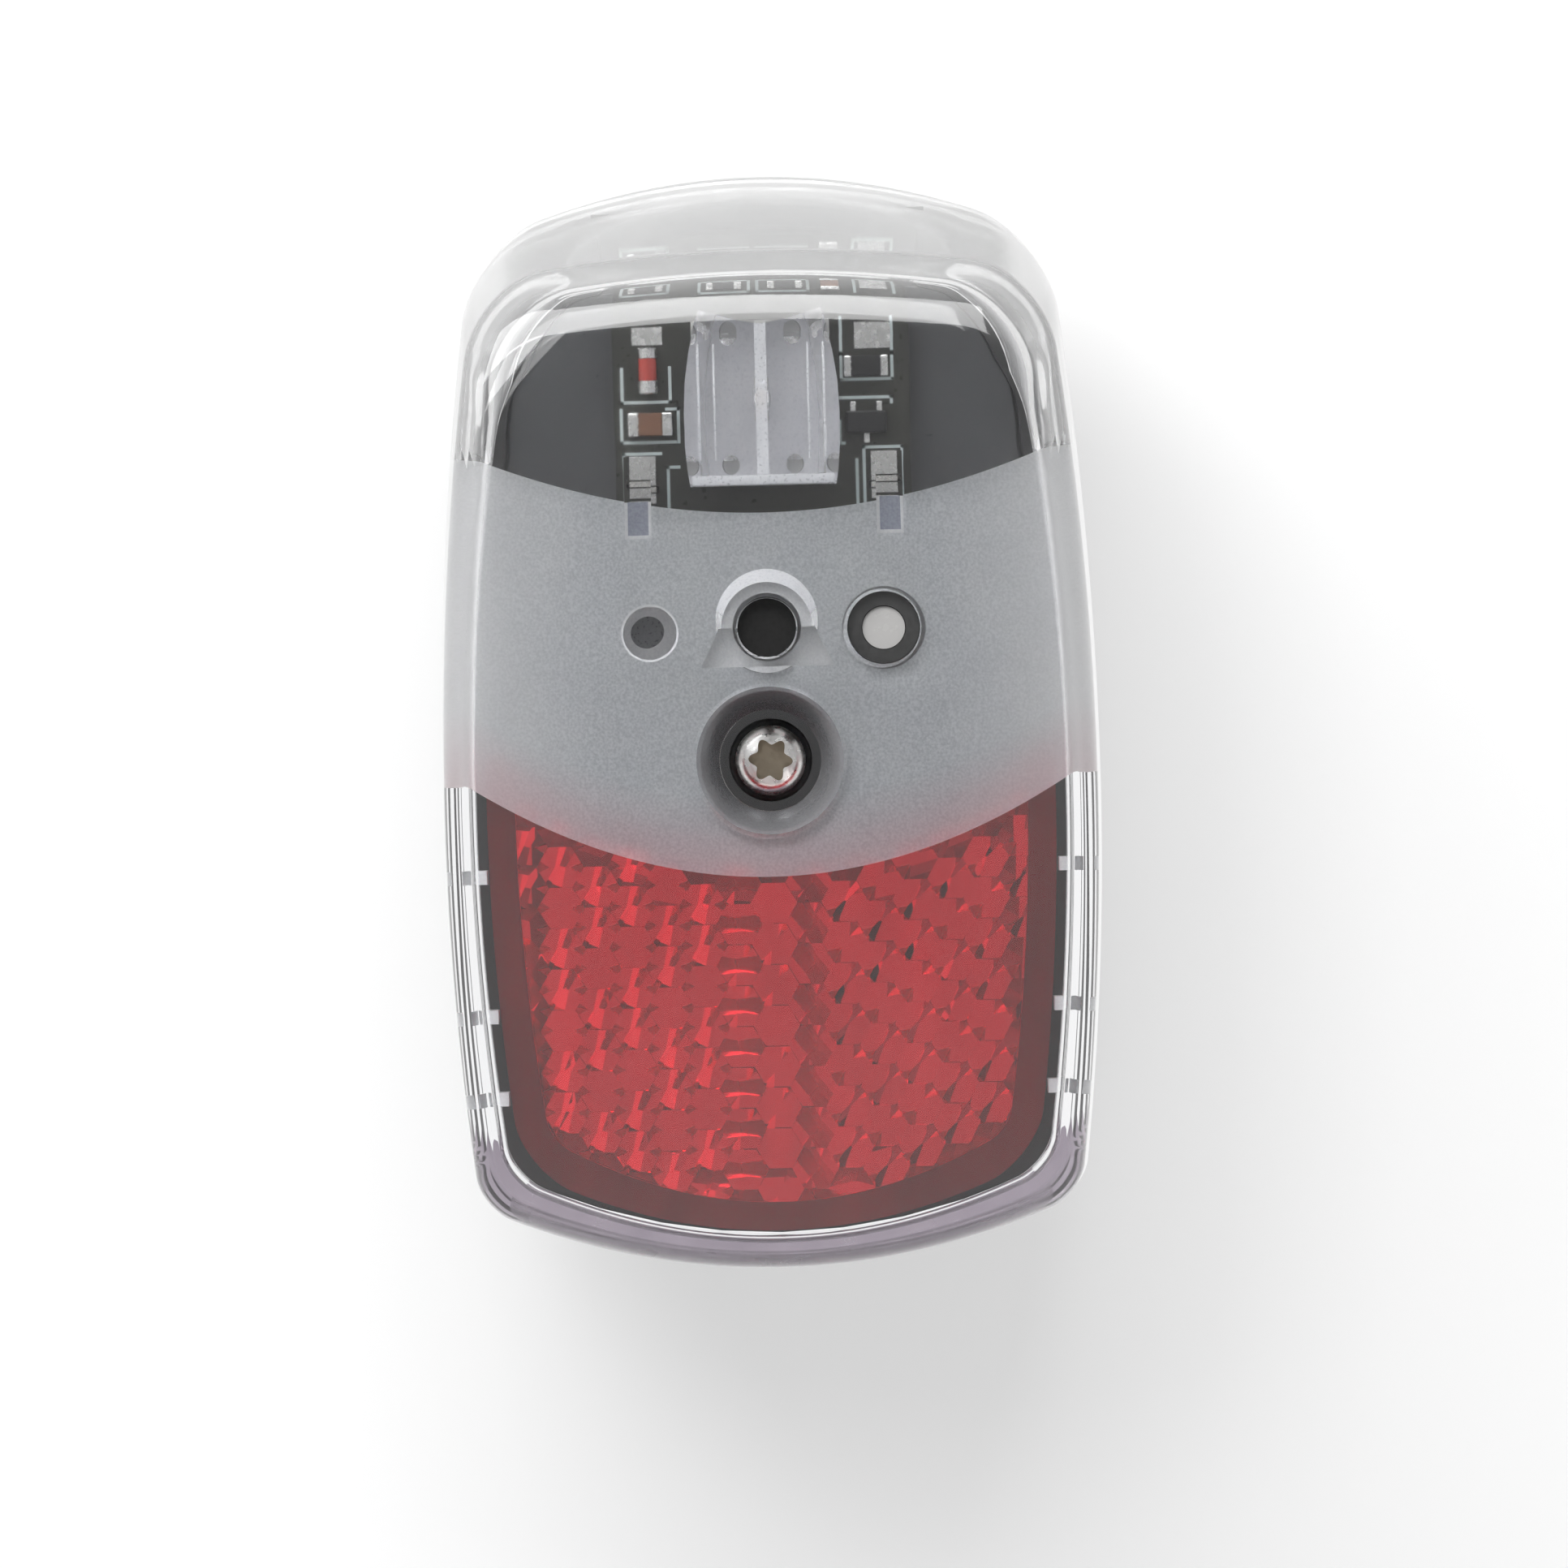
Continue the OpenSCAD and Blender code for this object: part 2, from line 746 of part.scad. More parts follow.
module solder_pads() {
    color([0.75, 0.76, 0.76])
        placed()
            union() {
                for (side = [-1, 1])
                    difference() {
                        pad(side * tab_x, tab_z + 0.9, tab_w, 3.4);
                        tab_slot(side);
                    }
                pad(8.1, down(6.5), 2.6, 1.6);
                pad(8.4, down(1.5), 2, 1.9);
                pad(-8.2, down(6.2), 2.2, 1);
            }
}

module led() {
    color([0.9, 0.82, 0.45])
        placed()
            union() {
                block(
                    -led_side / 2, led_side / 2, board_u1, board_u1 + 0.8,
                    led_z - led_side / 2, led_z + led_side / 2
                );
                translate([0, -board_u1 - 1.15, led_z])
                    sphere(r = 1.15);
            }
}

module led_optic() {
    w = optic_w / 2;
    h = optic_h / 2;
    color([0.85, 0.85, 0.9, 0.6])
        placed()
            difference() {
                union() {
                    intersection() {
                        slab(optic_u0, optic_u1)
                            polygon([
                                [-w * 0.96, led_z - h],
                                [0, led_z - h + 0.9],
                                [w * 0.96, led_z - h],
                                [w, led_z],
                                [w * 0.86, led_z + h],
                                [0, led_z + h - 1.1],
                                [-w * 0.86, led_z + h],
                                [-w, led_z]
                            ]);
                        translate([0, 0, led_z - h - 1])
                            linear_extrude(height = optic_h + 2)
                                polygon([
                                    [-w - 1, -optic_u0 + 1],
                                    [-w - 1, -optic_u1 + 1.6],
                                    [-w * 0.8, -optic_u1],
                                    [0, -optic_u1 + 2.3],
                                    [w * 0.8, -optic_u1],
                                    [w + 1, -optic_u1 + 1.6],
                                    [w + 1, -optic_u0 + 1]
                                ]);
                    }
                    for (sx = [-1, 1], sz = [-1, 1])
                        rod(sx * (w * 0.86 - 1.2), led_z + sz * (h - 1.6), board_u1, optic_u0 + 0.5, 0.7);
                }
                rod(0, led_z, optic_u0 - 1, board_u1 + 2.8, led_side * 0.78);
            }
}

// A chip part lying across or upright, with a body and two bare ends
module chip(x, z, w, h, t) {
    block(x - w / 2, x + w / 2, board_u1, board_u1 + t, z - h / 2, z + h / 2);
}

module resistors() {
    color([0.1, 0.1, 0.11])
        placed()
            union() {
                chip(7.6, down(8.6), chip_l, chip_w, resistor_t);
                chip(-8.4, down(1.6), small_l, small_w, resistor_t);
                chip(-2.6, down(1.9), small_l, small_w, resistor_t);
                chip(1.9, down(1.9), small_l, small_w, resistor_t);
            }
}

module capacitors() {
    color([0.55, 0.42, 0.3])
        placed()
            union() {
                chip(-8.1, down(12.5), chip_l, chip_w + 0.1, capacitor_t);
                chip(5.2, down(1.7), small_w + 0.1, small_l - 0.4, capacitor_t - 0.2);
            }
}

module diode() {
    color([0.5, 0.12, 0.1])
        placed()
            translate([-8.2, -board_u1 - diode_d / 2, down(10.3)])
                cylinder(h = diode_l, r = diode_d / 2);
}

module driver_chip() {
    color([0.08, 0.08, 0.09])
        placed()
            union() {
                block(6.1, 9, board_u1, board_u1 + 1.1, down(13.5), down(11.9));
                for (x = [6.6, 8.5])
                    block(x - 0.2, x + 0.2, board_u1, board_u1 + 0.2, down(12.1), down(11.2));
                block(7.35, 7.75, board_u1, board_u1 + 0.2, down(14.2), down(13.3));
            }
}

module light_sensor() {
    color([0.15, 0.15, 0.17])
        placed()
            block(guide_x - 1, guide_x + 1, board_u1, board_u1 + sensor_h, guide_z - 1.2, guide_z + 1.2);
}

module light_guide() {
    color([0.86, 0.86, 0.8])
        placed()
            rod(guide_x, guide_z, guide_u0, sleeve_u1 - 0.3, guide_d / 2);
}

module guide_sleeve() {
    color([0.1, 0.1, 0.1])
        placed()
            difference() {
                rod(guide_x, guide_z, guide_u0 + 1, sleeve_u1, sleeve_d / 2);
                rod(guide_x, guide_z, guide_u0, sleeve_u1 + 1, guide_d / 2 + slide_gap);
            }
}

module tact_switch() {
    s = switch_side / 2;
    color([0.3, 0.3, 0.32])
        placed()
            difference() {
                block(-s, s, board_u1, board_u1 + switch_h, button_z - s, button_z + s);
                rod(0, button_z, board_u1 + 0.8, plunger_u1, plunger_d / 2 + slide_gap);
            }
}

module switch_plunger() {
    color([0.7, 0.68, 0.6])
        placed()
            rod(0, button_z, board_u1 + 1 + button_travel, plunger_u1, plunger_d / 2);
}

module push_button() {
    color([0.03, 0.03, 0.03])
        placed()
            difference() {
                union() {
                    rod(0, button_z, collar_u0 - slide_gap - 0.6, button_u1, button_d / 2);
                    rod(0, button_z, collar_u0 - slide_gap - 1.2, collar_u0 - slide_gap, button_d / 2 + 0.9);
                    rod(0, button_z, stem_u0, collar_u0 - 0.4, button_d / 2 - 0.5);
                }
                difference() {
                    rod(0, button_z, collar_u0 + 2.2, collar_u0 + 3.2, button_d);
                    rod(0, button_z, collar_u0 + 2, collar_u0 + 3.4, button_d / 2 - 0.7);
                }
            }
}

module button_ring() {
    color([0.2, 0.2, 0.2])
        placed()
            translate([0, -collar_u0 - 2.7, button_z])
                rotate([90, 0, 0])
                    rotate_extrude()
                        translate([button_d / 2 - 0.34, 0])
                            circle(r = 0.35);
}

// One side of the threaded shank, from the head to the tip
module shank_profile() {
    turns = floor((screw_len - 2.5) / screw_pitch);
    r = screw_d / 2;
    start = screw_len - turns * screw_pitch;
    polygon(concat(
        [[0, 0], [r * 0.4, 0], [r * 0.8, start - 0.5]],
        [
            for (i = [0:turns - 1], k = [0:1])
                [k == 0 ? r * 0.8 : r, start + (i + k * 0.5) * screw_pitch]
        ],
        [[r * 0.8, screw_len], [r * 0.8, screw_len + 0.5], [0, screw_len + 0.5]]
    ));
}

module cover_screw() {
    color([0.75, 0.75, 0.75])
        placed()
            translate([0, -head_seat, screw_z])
                rotate([90, 0, 0])
                    difference() {
                        union() {
                            translate([0, 0, -screw_len])
                                rotate_extrude()
                                    shank_profile();
                            intersection() {
                                cylinder(h = screw_head_h, r = screw_head_d / 2);
                                translate([0, 0, screw_head_h - 4.4])
                                    sphere(r = 4.4);
                            }
                        }
                        translate([0, 0, screw_head_h - 1.4])
                            cylinder(h = 3, r = screw_head_d * 0.2);
                        for (a = [0:60:300])
                            rotate([0, 0, a])
                                translate([screw_head_d * 0.22, 0, screw_head_h - 1.4])
                                    cylinder(h = 3, r = screw_head_d * 0.065);
                    }
}

module screw_ring() {
    color([0.05, 0.05, 0.05])
        placed()
            translate([0, -well_floor - ring_r, screw_z])
                rotate([90, 0, 0])
                    rotate_extrude()
                        translate([ring_mid, 0])
                            circle(r = ring_r);
}

// A round cell, with its raised end up or down
module battery(x, up) {
    body = battery_len - 1.2;
    translate([x, -battery_u, battery_z0])
        union() {
            translate([0, 0, up ? 0 : 1.2])
                cylinder(h = body, r = battery_d / 2);
            translate([0, 0, up ? body - 0.5 : 0])
                cylinder(h = 1.7, r = 1.9);
        }
}

module battery_left() {
    color([0.25, 0.4, 0.3])
        placed()
            battery(-battery_x, true);
}

module battery_right() {
    color([0.25, 0.4, 0.3])
        placed()
            battery(battery_x, false);
}

// An upper contact: a plate across the cell's end and a strip that runs out to its tab on the board
module upper_contact(side) {
    x0 = side * tab_x - tab_w / 2;
    x1 = side * tab_x + tab_w / 2;
    block(
        side * battery_x - 3.6, side * battery_x + 3.6, battery_u - 3.4, battery_u + 4.6,
        plate_z, plate_z + contact_t
    );
    block(
        min(side * tab_x, side * battery_x), max(side * tab_x, side * battery_x), battery_u, battery_u + 2,
        plate_z, plate_z + contact_t
    );
    block(x0, x1, battery_u, strip_u + contact_t, plate_z, plate_z + contact_t);
    block(x0, x1, strip_u, strip_u + contact_t, min(plate_z, tab_z), max(plate_z, tab_z) + contact_t);
    block(x0, x1, strip_u, board_u1 + 0.15, tab_z, tab_z + contact_t);
    translate([side * battery_x, -battery_u, cell_top])
        cylinder(h = contact_gap + contact_t / 2, r = dimple_r);
}

module contact_left() {
    color([0.78, 0.77, 0.72])
        placed()
            upper_contact(-1);
}

module contact_right() {
    color([0.78, 0.77, 0.72])
        placed()
            upper_contact(1);
}

module battery_bridge() {
    color([0.78, 0.77, 0.72])
        placed()
            union() {
                block(
                    -battery_x - 3, battery_x + 3, battery_u - 2.8, battery_u + 2.8,
                    bridge_z, bridge_z + contact_t
                );
                for (side = [-1, 1])
                    translate([side * battery_x, -battery_u, bridge_z + contact_t / 2])
                        cylinder(h = battery_z0 - bridge_z - contact_t / 2, r = dimple_r);
            }
}

module captive_nut() {
    color([0.6, 0.6, 0.6])
        placed()
            translate([0, -nut_u0, bolt_height])
                rotate([90, 30, 0])
                    difference() {
                        cylinder(h = nut_t, r = nut_flats / sqrt(3), $fn = 6);
                        translate([0, 0, -1])
                            cylinder(h = nut_t + 2, r = nut_bore_d / 2);
                    }
}

lens_cover();
reflector_plate();
base_housing();
cover_seal();
board_carrier();
circuit_board();
solder_pads();
led();
led_optic();
resistors();
capacitors();
diode();
driver_chip();
light_sensor();
light_guide();
guide_sleeve();
tact_switch();
switch_plunger();
push_button();
button_ring();
cover_screw();
screw_ring();
battery_left();
battery_right();
contact_left();
contact_right();
battery_bridge();
captive_nut();
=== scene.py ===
import math

import bmesh
import bpy
from mathutils import Matrix, Vector
from mathutils.bvhtree import BVHTree
from mathutils.interpolate import poly_3d_calc


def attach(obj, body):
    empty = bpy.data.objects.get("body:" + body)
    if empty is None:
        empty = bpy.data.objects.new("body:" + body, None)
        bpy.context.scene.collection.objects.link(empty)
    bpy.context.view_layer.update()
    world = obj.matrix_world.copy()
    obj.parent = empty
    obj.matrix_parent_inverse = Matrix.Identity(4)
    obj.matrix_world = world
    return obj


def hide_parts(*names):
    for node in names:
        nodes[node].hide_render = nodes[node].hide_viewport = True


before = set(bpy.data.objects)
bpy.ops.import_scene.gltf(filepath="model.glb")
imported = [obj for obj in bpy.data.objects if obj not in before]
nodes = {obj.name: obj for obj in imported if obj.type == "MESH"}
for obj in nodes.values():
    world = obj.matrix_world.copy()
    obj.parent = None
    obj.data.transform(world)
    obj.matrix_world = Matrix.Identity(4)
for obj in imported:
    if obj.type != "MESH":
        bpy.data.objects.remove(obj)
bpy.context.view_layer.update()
scene = bpy.context.scene

# Lengths are lamp millimetres, as in the part's source: x across, u out from the mudguard, z up from
# the lamp's lowest point.
BOLT_Z = 50.0

# The cover: its rear edge, depth, half width and height, its walls, its front and the crown of the front
COVER_REAR, DEPTH, HALF_W, HEIGHT = 8.0, 27.0, 23.95, 79.0
WALL, FRONT, CROWN = 1.9, 1.8, 1.5
FACE_MID = 35.39
# Where it is widest, how far its sides draw in above and below that, and the bow of its foot
WAIST_Z, TOP_DRAW, FOOT_DRAW, FOOT_SAG = 34.0, 3.0, 1.9, 4.8
# How far the roof falls to the front, and the rise of its arch at the rear and at the front
ROOF_FALL, REAR_SAG, FRONT_SAG = 7.0, 4.8, 1.4
# Draft of the sides and of the foot, and the radii of the lower and upper corners
SIDE_DRAFT, FOOT_DRAFT, FOOT_CORNER, TOP_CORNER = 0.6, 0.3, 2.5, 6.0
# How deep the front edge is rounded, and how far that draws in the sides, the top and the bottom
OUTER_EDGE, INNER_EDGE = (3.5, 1.5, 5.5, 1.4), (1.9, 0.5, 3.8, 0.5)
# The frosted band: the height of each edge in the middle, and its rise at FROST_HALF to the side
FROST_HALF = 22.0
FROST_TOP, FROST_TOP_RISE = 54.3, 5.0
FROST_LOW, FROST_LOW_RISE = 28.3, 7.2

# The reflector: its half width, foot and depth, the hollow arc of its top, and the pitch of its cells
REFLECTOR_W, REFLECTOR_FOOT = 20.3, 3.0
REFLECTOR_U0, REFLECTOR_U1 = 30.5, 32.3
ARC_Z, ARC_R = 62.8, 31.8
PITCH = 2.93

# The front of the board, and the axes of what lies behind the front
BOARD_U = 16.8
SCREW_Z, BUTTON_Z, GUIDE_X, GUIDE_Z = 36.6, 46.1, 8.35, 45.9
LED_Z, PEG_X = 62.6, 9

ACRYLIC_IOR = 1.49


def at(x, u, z):
    """A place in lamp millimetres, in the row frame."""
    return Vector((x / 1000, -u / 1000, (z - BOLT_Z) / 1000))


# Materials
def new_material(name):
    mat = bpy.data.materials.new(name)
    mat.use_nodes = True
    tree = mat.node_tree
    return mat, tree, tree.nodes["Principled BSDF"]


def feed(tree, value, socket):
    """Links an output to a socket, or sets the socket to a plain value."""
    if isinstance(value, bpy.types.NodeSocket):
        tree.links.new(value, socket)
    else:
        socket.default_value = value


def math_of(tree, how, a, b):
    node = tree.nodes.new("ShaderNodeMath")
    node.operation = how
    feed(tree, a, node.inputs[0])
    feed(tree, b, node.inputs[1])
    return node.outputs[0]


def mix_of(tree, first, second, share, blend="MIX"):
    """Two colours mixed, with a share of the second."""
    node = tree.nodes.new("ShaderNodeMix")
    node.data_type = "RGBA"
    node.blend_type = blend
    feed(tree, share, node.inputs["Factor"])
    feed(tree, first, node.inputs[6])
    feed(tree, second, node.inputs[7])
    return node.outputs[2]


def noise_of(tree, scale, detail=5.0, stretch=(1, 1, 1)):
    """A noise over the object's own coordinates. The scale is in features per metre."""
    coords = tree.nodes.new("ShaderNodeTexCoord")
    spread = tree.nodes.new("ShaderNodeMapping")
    spread.inputs["Scale"].default_value = stretch
    noise = tree.nodes.new("ShaderNodeTexNoise")
    noise.inputs["Scale"].default_value = scale
    noise.inputs["Detail"].default_value = detail
    tree.links.new(coords.outputs["Object"], spread.inputs["Vector"])
    tree.links.new(spread.outputs["Vector"], noise.inputs["Vector"])
    return noise.outputs["Fac"]


def ramp_of(tree, fac, stops):
    ramp = tree.nodes.new("ShaderNodeValToRGB")
    els = ramp.color_ramp.elements
    while len(els) < len(stops):
        els.new(0.5)
    for el, (pos, col) in zip(els, stops):
        el.position = pos
        el.color = (*col, 1)
    tree.links.new(fac, ramp.inputs["Fac"])
    return ramp.outputs["Color"]


def range_of(tree, value, low, high, start=0.3, end=0.7):
    """A value that runs from low to high while another runs from start to end."""
    node = tree.nodes.new("ShaderNodeMapRange")
    node.inputs["From Min"].default_value = start
    node.inputs["From Max"].default_value = end
    node.inputs["To Min"].default_value = low
    node.inputs["To Max"].default_value = high
    tree.links.new(value, node.inputs["Value"])
    return node.outputs["Result"]


def bump_of(tree, fac, depth_mm, strength):
    node = tree.nodes.new("ShaderNodeBump")
    node.inputs["Strength"].default_value = strength
    node.inputs["Distance"].default_value = depth_mm / 1000
    tree.links.new(fac, node.inputs["Height"])
    return node.outputs["Normal"]


def moulded(name, dark, light, rough, grain=3000.0, depth=0.012, metallic=0.0, specular=0.5, coat=0.0):
    """A surface with a fine grain in its colour, gloss and relief."""
    mat, tree, bsdf = new_material(name)
    fac = noise_of(tree, grain)
    cloud = noise_of(tree, grain / 25, 3.0)
    tree.links.new(ramp_of(tree, cloud, [(0.3, dark), (0.7, light)]), bsdf.inputs["Base Color"])
    tree.links.new(range_of(tree, fac, rough * 0.8, rough * 1.2), bsdf.inputs["Roughness"])
    if depth:
        tree.links.new(bump_of(tree, fac, depth, 0.5), bsdf.inputs["Normal"])
    bsdf.inputs["Metallic"].default_value = metallic
    bsdf.inputs["Specular IOR Level"].default_value = specular
    bsdf.inputs["Coat Weight"].default_value = coat
    return mat


def clear(name, dark, light, rough, hazy=False):
    """A clear moulding, with the faint cloudiness of the plastic. A hazy one scatters some light where it
    turns away from the front."""
    mat, tree, bsdf = new_material(name)
    cloud = noise_of(tree, 300.0, 4.0, (1, 1, 0.4))
    tree.links.new(ramp_of(tree, cloud, [(0.3, dark), (0.7, light)]), bsdf.inputs["Base Color"])
    tree.links.new(range_of(tree, cloud, rough * 0.6, rough * 1.5), bsdf.inputs["Roughness"])
    bsdf.inputs["Transmission Weight"].default_value = 1.0
    bsdf.inputs["IOR"].default_value = ACRYLIC_IOR
    if hazy:
        facing = tree.nodes.new("ShaderNodeNewGeometry")
        split = tree.nodes.new("ShaderNodeSeparateXYZ")
        tree.links.new(facing.outputs["Normal"], split.inputs[0])
        through = range_of(tree, split.outputs["Y"], 1.0, 0.70, -0.99, -0.80)
        tree.links.new(through, bsdf.inputs["Transmission Weight"])
    return mat


def frost_painted_light(tree, tone):
    """Paints light on the frosted band: whiter where it nears the side walls, a painted glow of the light
    that comes in through them, and pink at its foot, a painted red glow from the plate behind.
    """
    coords = tree.nodes.new("ShaderNodeTexCoord")
    split = tree.nodes.new("ShaderNodeSeparateXYZ")
    tree.links.new(coords.outputs["Object"], split.inputs[0])
    across = math_of(tree, "MULTIPLY", split.outputs["X"], split.outputs["X"])
    bow = math_of(tree, "MULTIPLY", across, FROST_LOW_RISE / FROST_HALF ** 2 * 1000)
    low = math_of(tree, "ADD", bow, (FROST_LOW - BOLT_Z) / 1000)
    rise = math_of(tree, "SUBTRACT", split.outputs["Z"], low)
    # Painted light: the share of white towards the side walls, and of the plate's red towards the foot
    side_light_share = range_of(tree, across, 0.0, 0.75, 0.012 ** 2, 0.0222 ** 2)
    red_glow_share = range_of(tree, rise, 0.0, 0.36, 0.0055, 0.0)
    tone = mix_of(tree, tone, (1.0, 1.0, 1.0, 1), side_light_share)
    return mix_of(tree, tone, (0.74, 0.27, 0.33, 1), red_glow_share)


def frosted_material(name, dark, light, rough, through, band=False):
    """A frosted face: a fine speckle that scatters part of the light and blurs the rest."""
    mat, tree, bsdf = new_material(name)
    speck = noise_of(tree, 5200.0, 3.0)
    cloud = noise_of(tree, 260.0, 3.0)
    tone = ramp_of(tree, speck, [(0.34, dark), (0.66, light)])
    veil = ramp_of(tree, cloud, [(0.3, (0.92, 0.92, 0.93)), (0.7, (1.0, 1.0, 1.0))])
    tone = mix_of(tree, tone, veil, 1.0, "MULTIPLY")
    # The frosted band gets painted light near its sides and at its foot
    if band:
        tone = frost_painted_light(tree, tone)
    tree.links.new(tone, bsdf.inputs["Base Color"])
    tree.links.new(range_of(tree, speck, rough * 0.85, rough * 1.2), bsdf.inputs["Roughness"])
    tree.links.new(bump_of(tree, speck, 0.03, 0.6), bsdf.inputs["Normal"])
    bsdf.inputs["Transmission Weight"].default_value = through
    bsdf.inputs["IOR"].default_value = ACRYLIC_IOR
    return mat


CLEAR = clear("clear_plastic", (0.955, 0.96, 0.975), (0.985, 0.985, 0.99), 0.012)
HAZE = clear("hazy_plastic", (0.93, 0.935, 0.935), (0.97, 0.972, 0.972), 0.05, hazy=True)
SMOKE = clear("well_plastic", (0.86, 0.86, 0.865), (0.92, 0.92, 0.925), 0.03)
OPTIC = clear("optic_plastic", (0.90, 0.90, 0.955), (0.95, 0.95, 0.98), 0.02)
RED = clear("reflector_plastic", (0.68, 0.010, 0.020), (0.92, 0.018, 0.032), 0.02)
RIM = clear("rear_rim", (0.94, 0.94, 0.95), (0.98, 0.98, 0.985), 0.5)
# Painted shade: a clear plastic tinted dark purple-grey, for the cover's lower rim and underside as they look
# in shade
LOWER_RIM_PAINTED_SHADE = clear("lower_rim", (0.10, 0.075, 0.105), (0.15, 0.115, 0.155), 0.2)
FROSTED = frosted_material("frosted_plastic", (0.54, 0.565, 0.59), (0.77, 0.795, 0.82), 0.38, 0.56, band=True)
# Painted reflection: the well's clear flare is made dark grey, as it looks where it reflects the dark inside
# of the lamp
FLARE_PAINTED_SHADE = frosted_material("flare_plastic", (0.27, 0.27, 0.28), (0.32, 0.32, 0.33), 0.14, 0.5)
WINDOW = frosted_material("window_plastic", (0.46, 0.49, 0.60), (0.58, 0.61, 0.72), 0.2, 0.3)
PALE = frosted_material("pale_plastic", (0.84, 0.85, 0.87), (0.93, 0.94, 0.95), 0.34, 0.2)
DIM = frosted_material("dim_plastic", (0.30, 0.305, 0.33), (0.36, 0.365, 0.39), 0.30, 0.2)
# Painted glints: a bright pale red on bevels and cut walls of the reflector's pins, standing in for the
# glints that the cells throw back
PAINTED_GLINT = frosted_material("reflector_glint", (0.80, 0.09, 0.12), (0.90, 0.13, 0.17), 0.3, 0.15)
# Painted highlights: a pale frosted face for the white arc over the button and the bright lines of the lamp's
# clear block
PAINTED_HIGHLIGHT = frosted_material("optic_rib", (0.84, 0.85, 0.88), (0.92, 0.93, 0.95), 0.30, 0.25)
# Painted light: near white for the back faces of the clear block, so that it looks lit from behind
OPTIC_PAINTED_BACKLIGHT = frosted_material("optic_back", (0.93, 0.935, 0.95), (0.975, 0.978, 0.985), 0.3, 0.03)
BORDER = moulded("reflector_border", (0.17, 0.06, 0.06), (0.20, 0.07, 0.07), 0.35)
BLACK = moulded("black_moulding", (0.012, 0.012, 0.013), (0.022, 0.022, 0.024), 0.42)
CARRIER = moulded("carrier_moulding", (0.056, 0.058, 0.062), (0.074, 0.076, 0.080), 0.34)
RUBBER = moulded("seal_rubber", (0.010, 0.010, 0.010), (0.020, 0.020, 0.020), 0.62, 2500.0, 0.02)
BOARD = moulded("board_mask", (0.020, 0.021, 0.016), (0.036, 0.036, 0.028), 0.32, 2200.0, 0.006)
INK = moulded("board_ink", (0.52, 0.60, 0.60), (0.66, 0.73, 0.72), 0.6, 5000.0, 0.006)
SOLDER = moulded("solder", (0.52, 0.52, 0.51), (0.74, 0.74, 0.72), 0.26, 2200.0, 0.05, metallic=1.0)
TIN = moulded("tinned_steel", (0.60, 0.59, 0.56), (0.74, 0.73, 0.70), 0.28, 2600.0, 0.006, metallic=1.0)
STEEL = moulded("plated_steel", (0.82, 0.80, 0.77), (0.92, 0.90, 0.87), 0.30, 2400.0, 0.006, metallic=1.0)
RECESS = moulded("recess_steel", (0.20, 0.16, 0.11), (0.40, 0.34, 0.26), 0.42, 2600.0, 0.02, metallic=1.0)
CHIP = moulded("chip_black", (0.010, 0.010, 0.011), (0.020, 0.020, 0.020), 0.36, 4000.0, 0.006)
BROWN = moulded("capacitor_brown", (0.17, 0.075, 0.038), (0.24, 0.110, 0.060), 0.34, 4000.0, 0.006)
GLASS_RED = moulded("diode_glass", (0.42, 0.035, 0.025), (0.62, 0.070, 0.045), 0.18, 1500.0, 0.0, coat=0.6)
LAMP = moulded("lamp_phosphor", (0.60, 0.36, 0.13), (0.74, 0.50, 0.22), 0.3, 2500.0, 0.004, coat=0.5)
CERAMIC = moulded("white_ceramic", (0.66, 0.66, 0.64), (0.76, 0.76, 0.74), 0.4, 2500.0, 0.004)
SWITCH = moulded("switch_steel", (0.40, 0.40, 0.41), (0.52, 0.52, 0.53), 0.32, 2600.0, 0.006, metallic=1.0)
PLUNGER = moulded("plunger_moulding", (0.50, 0.49, 0.44), (0.60, 0.58, 0.52), 0.45)
BUTTON = moulded("button_moulding", (0.006, 0.006, 0.006), (0.010, 0.010, 0.010), 0.6, specular=0.15)
GUIDE = moulded("guide_plastic", (0.34, 0.335, 0.33), (0.37, 0.365, 0.36), 0.25, 1500.0, 0.004, coat=0.4)
SLEEVE = moulded("sleeve_moulding", (0.010, 0.010, 0.010), (0.018, 0.018, 0.018), 0.36)
CELL = moulded("cell_sleeve", (0.05, 0.11, 0.075), (0.07, 0.14, 0.10), 0.24, 900.0, 0.003, coat=0.4)

for name, mat in {
    "base_housing": BLACK,
    "cover_seal": RUBBER,
    "board_carrier": CARRIER,
    "circuit_board": BOARD,
    "solder_pads": SOLDER,
    "led": LAMP,
    "led_optic": OPTIC,
    "resistors": CHIP,
    "capacitors": BROWN,
    "diode": GLASS_RED,
    "driver_chip": CHIP,
    "light_sensor": CHIP,
    "light_guide": GUIDE,
    "guide_sleeve": SLEEVE,
    "tact_switch": SWITCH,
    "switch_plunger": PLUNGER,
    "push_button": BUTTON,
    "button_ring": RUBBER,
    "cover_screw": STEEL,
    "screw_ring": RUBBER,
    "battery_left": CELL,
    "battery_right": CELL,
    "contact_left": TIN,
    "contact_right": TIN,
    "battery_bridge": TIN,
    "captive_nut": STEEL,
}.items():
    nodes[name].data.materials.clear()
    nodes[name].data.materials.append(mat)


# Mesh helpers
def link(obj):
    scene.collection.objects.link(obj)
    return obj


def object_of(name, bm, mats=()):
    bmesh.ops.recalc_face_normals(bm, faces=bm.faces)
    mesh = bpy.data.meshes.new(name)
    bm.to_mesh(mesh)
    bm.free()
    for m in mats:
        mesh.materials.append(m)
    return link(bpy.data.objects.new(name, mesh))


def in_slot(bm, slot):
    for f in bm.faces:
        f.material_index = slot
    return bm


def bridge(bm, a, b):
    """Faces between two closed rings of as many points."""
    n = len(a)
    return [bm.faces.new((a[k], a[(k + 1) % n], b[(k + 1) % n], b[k])) for k in range(n)]


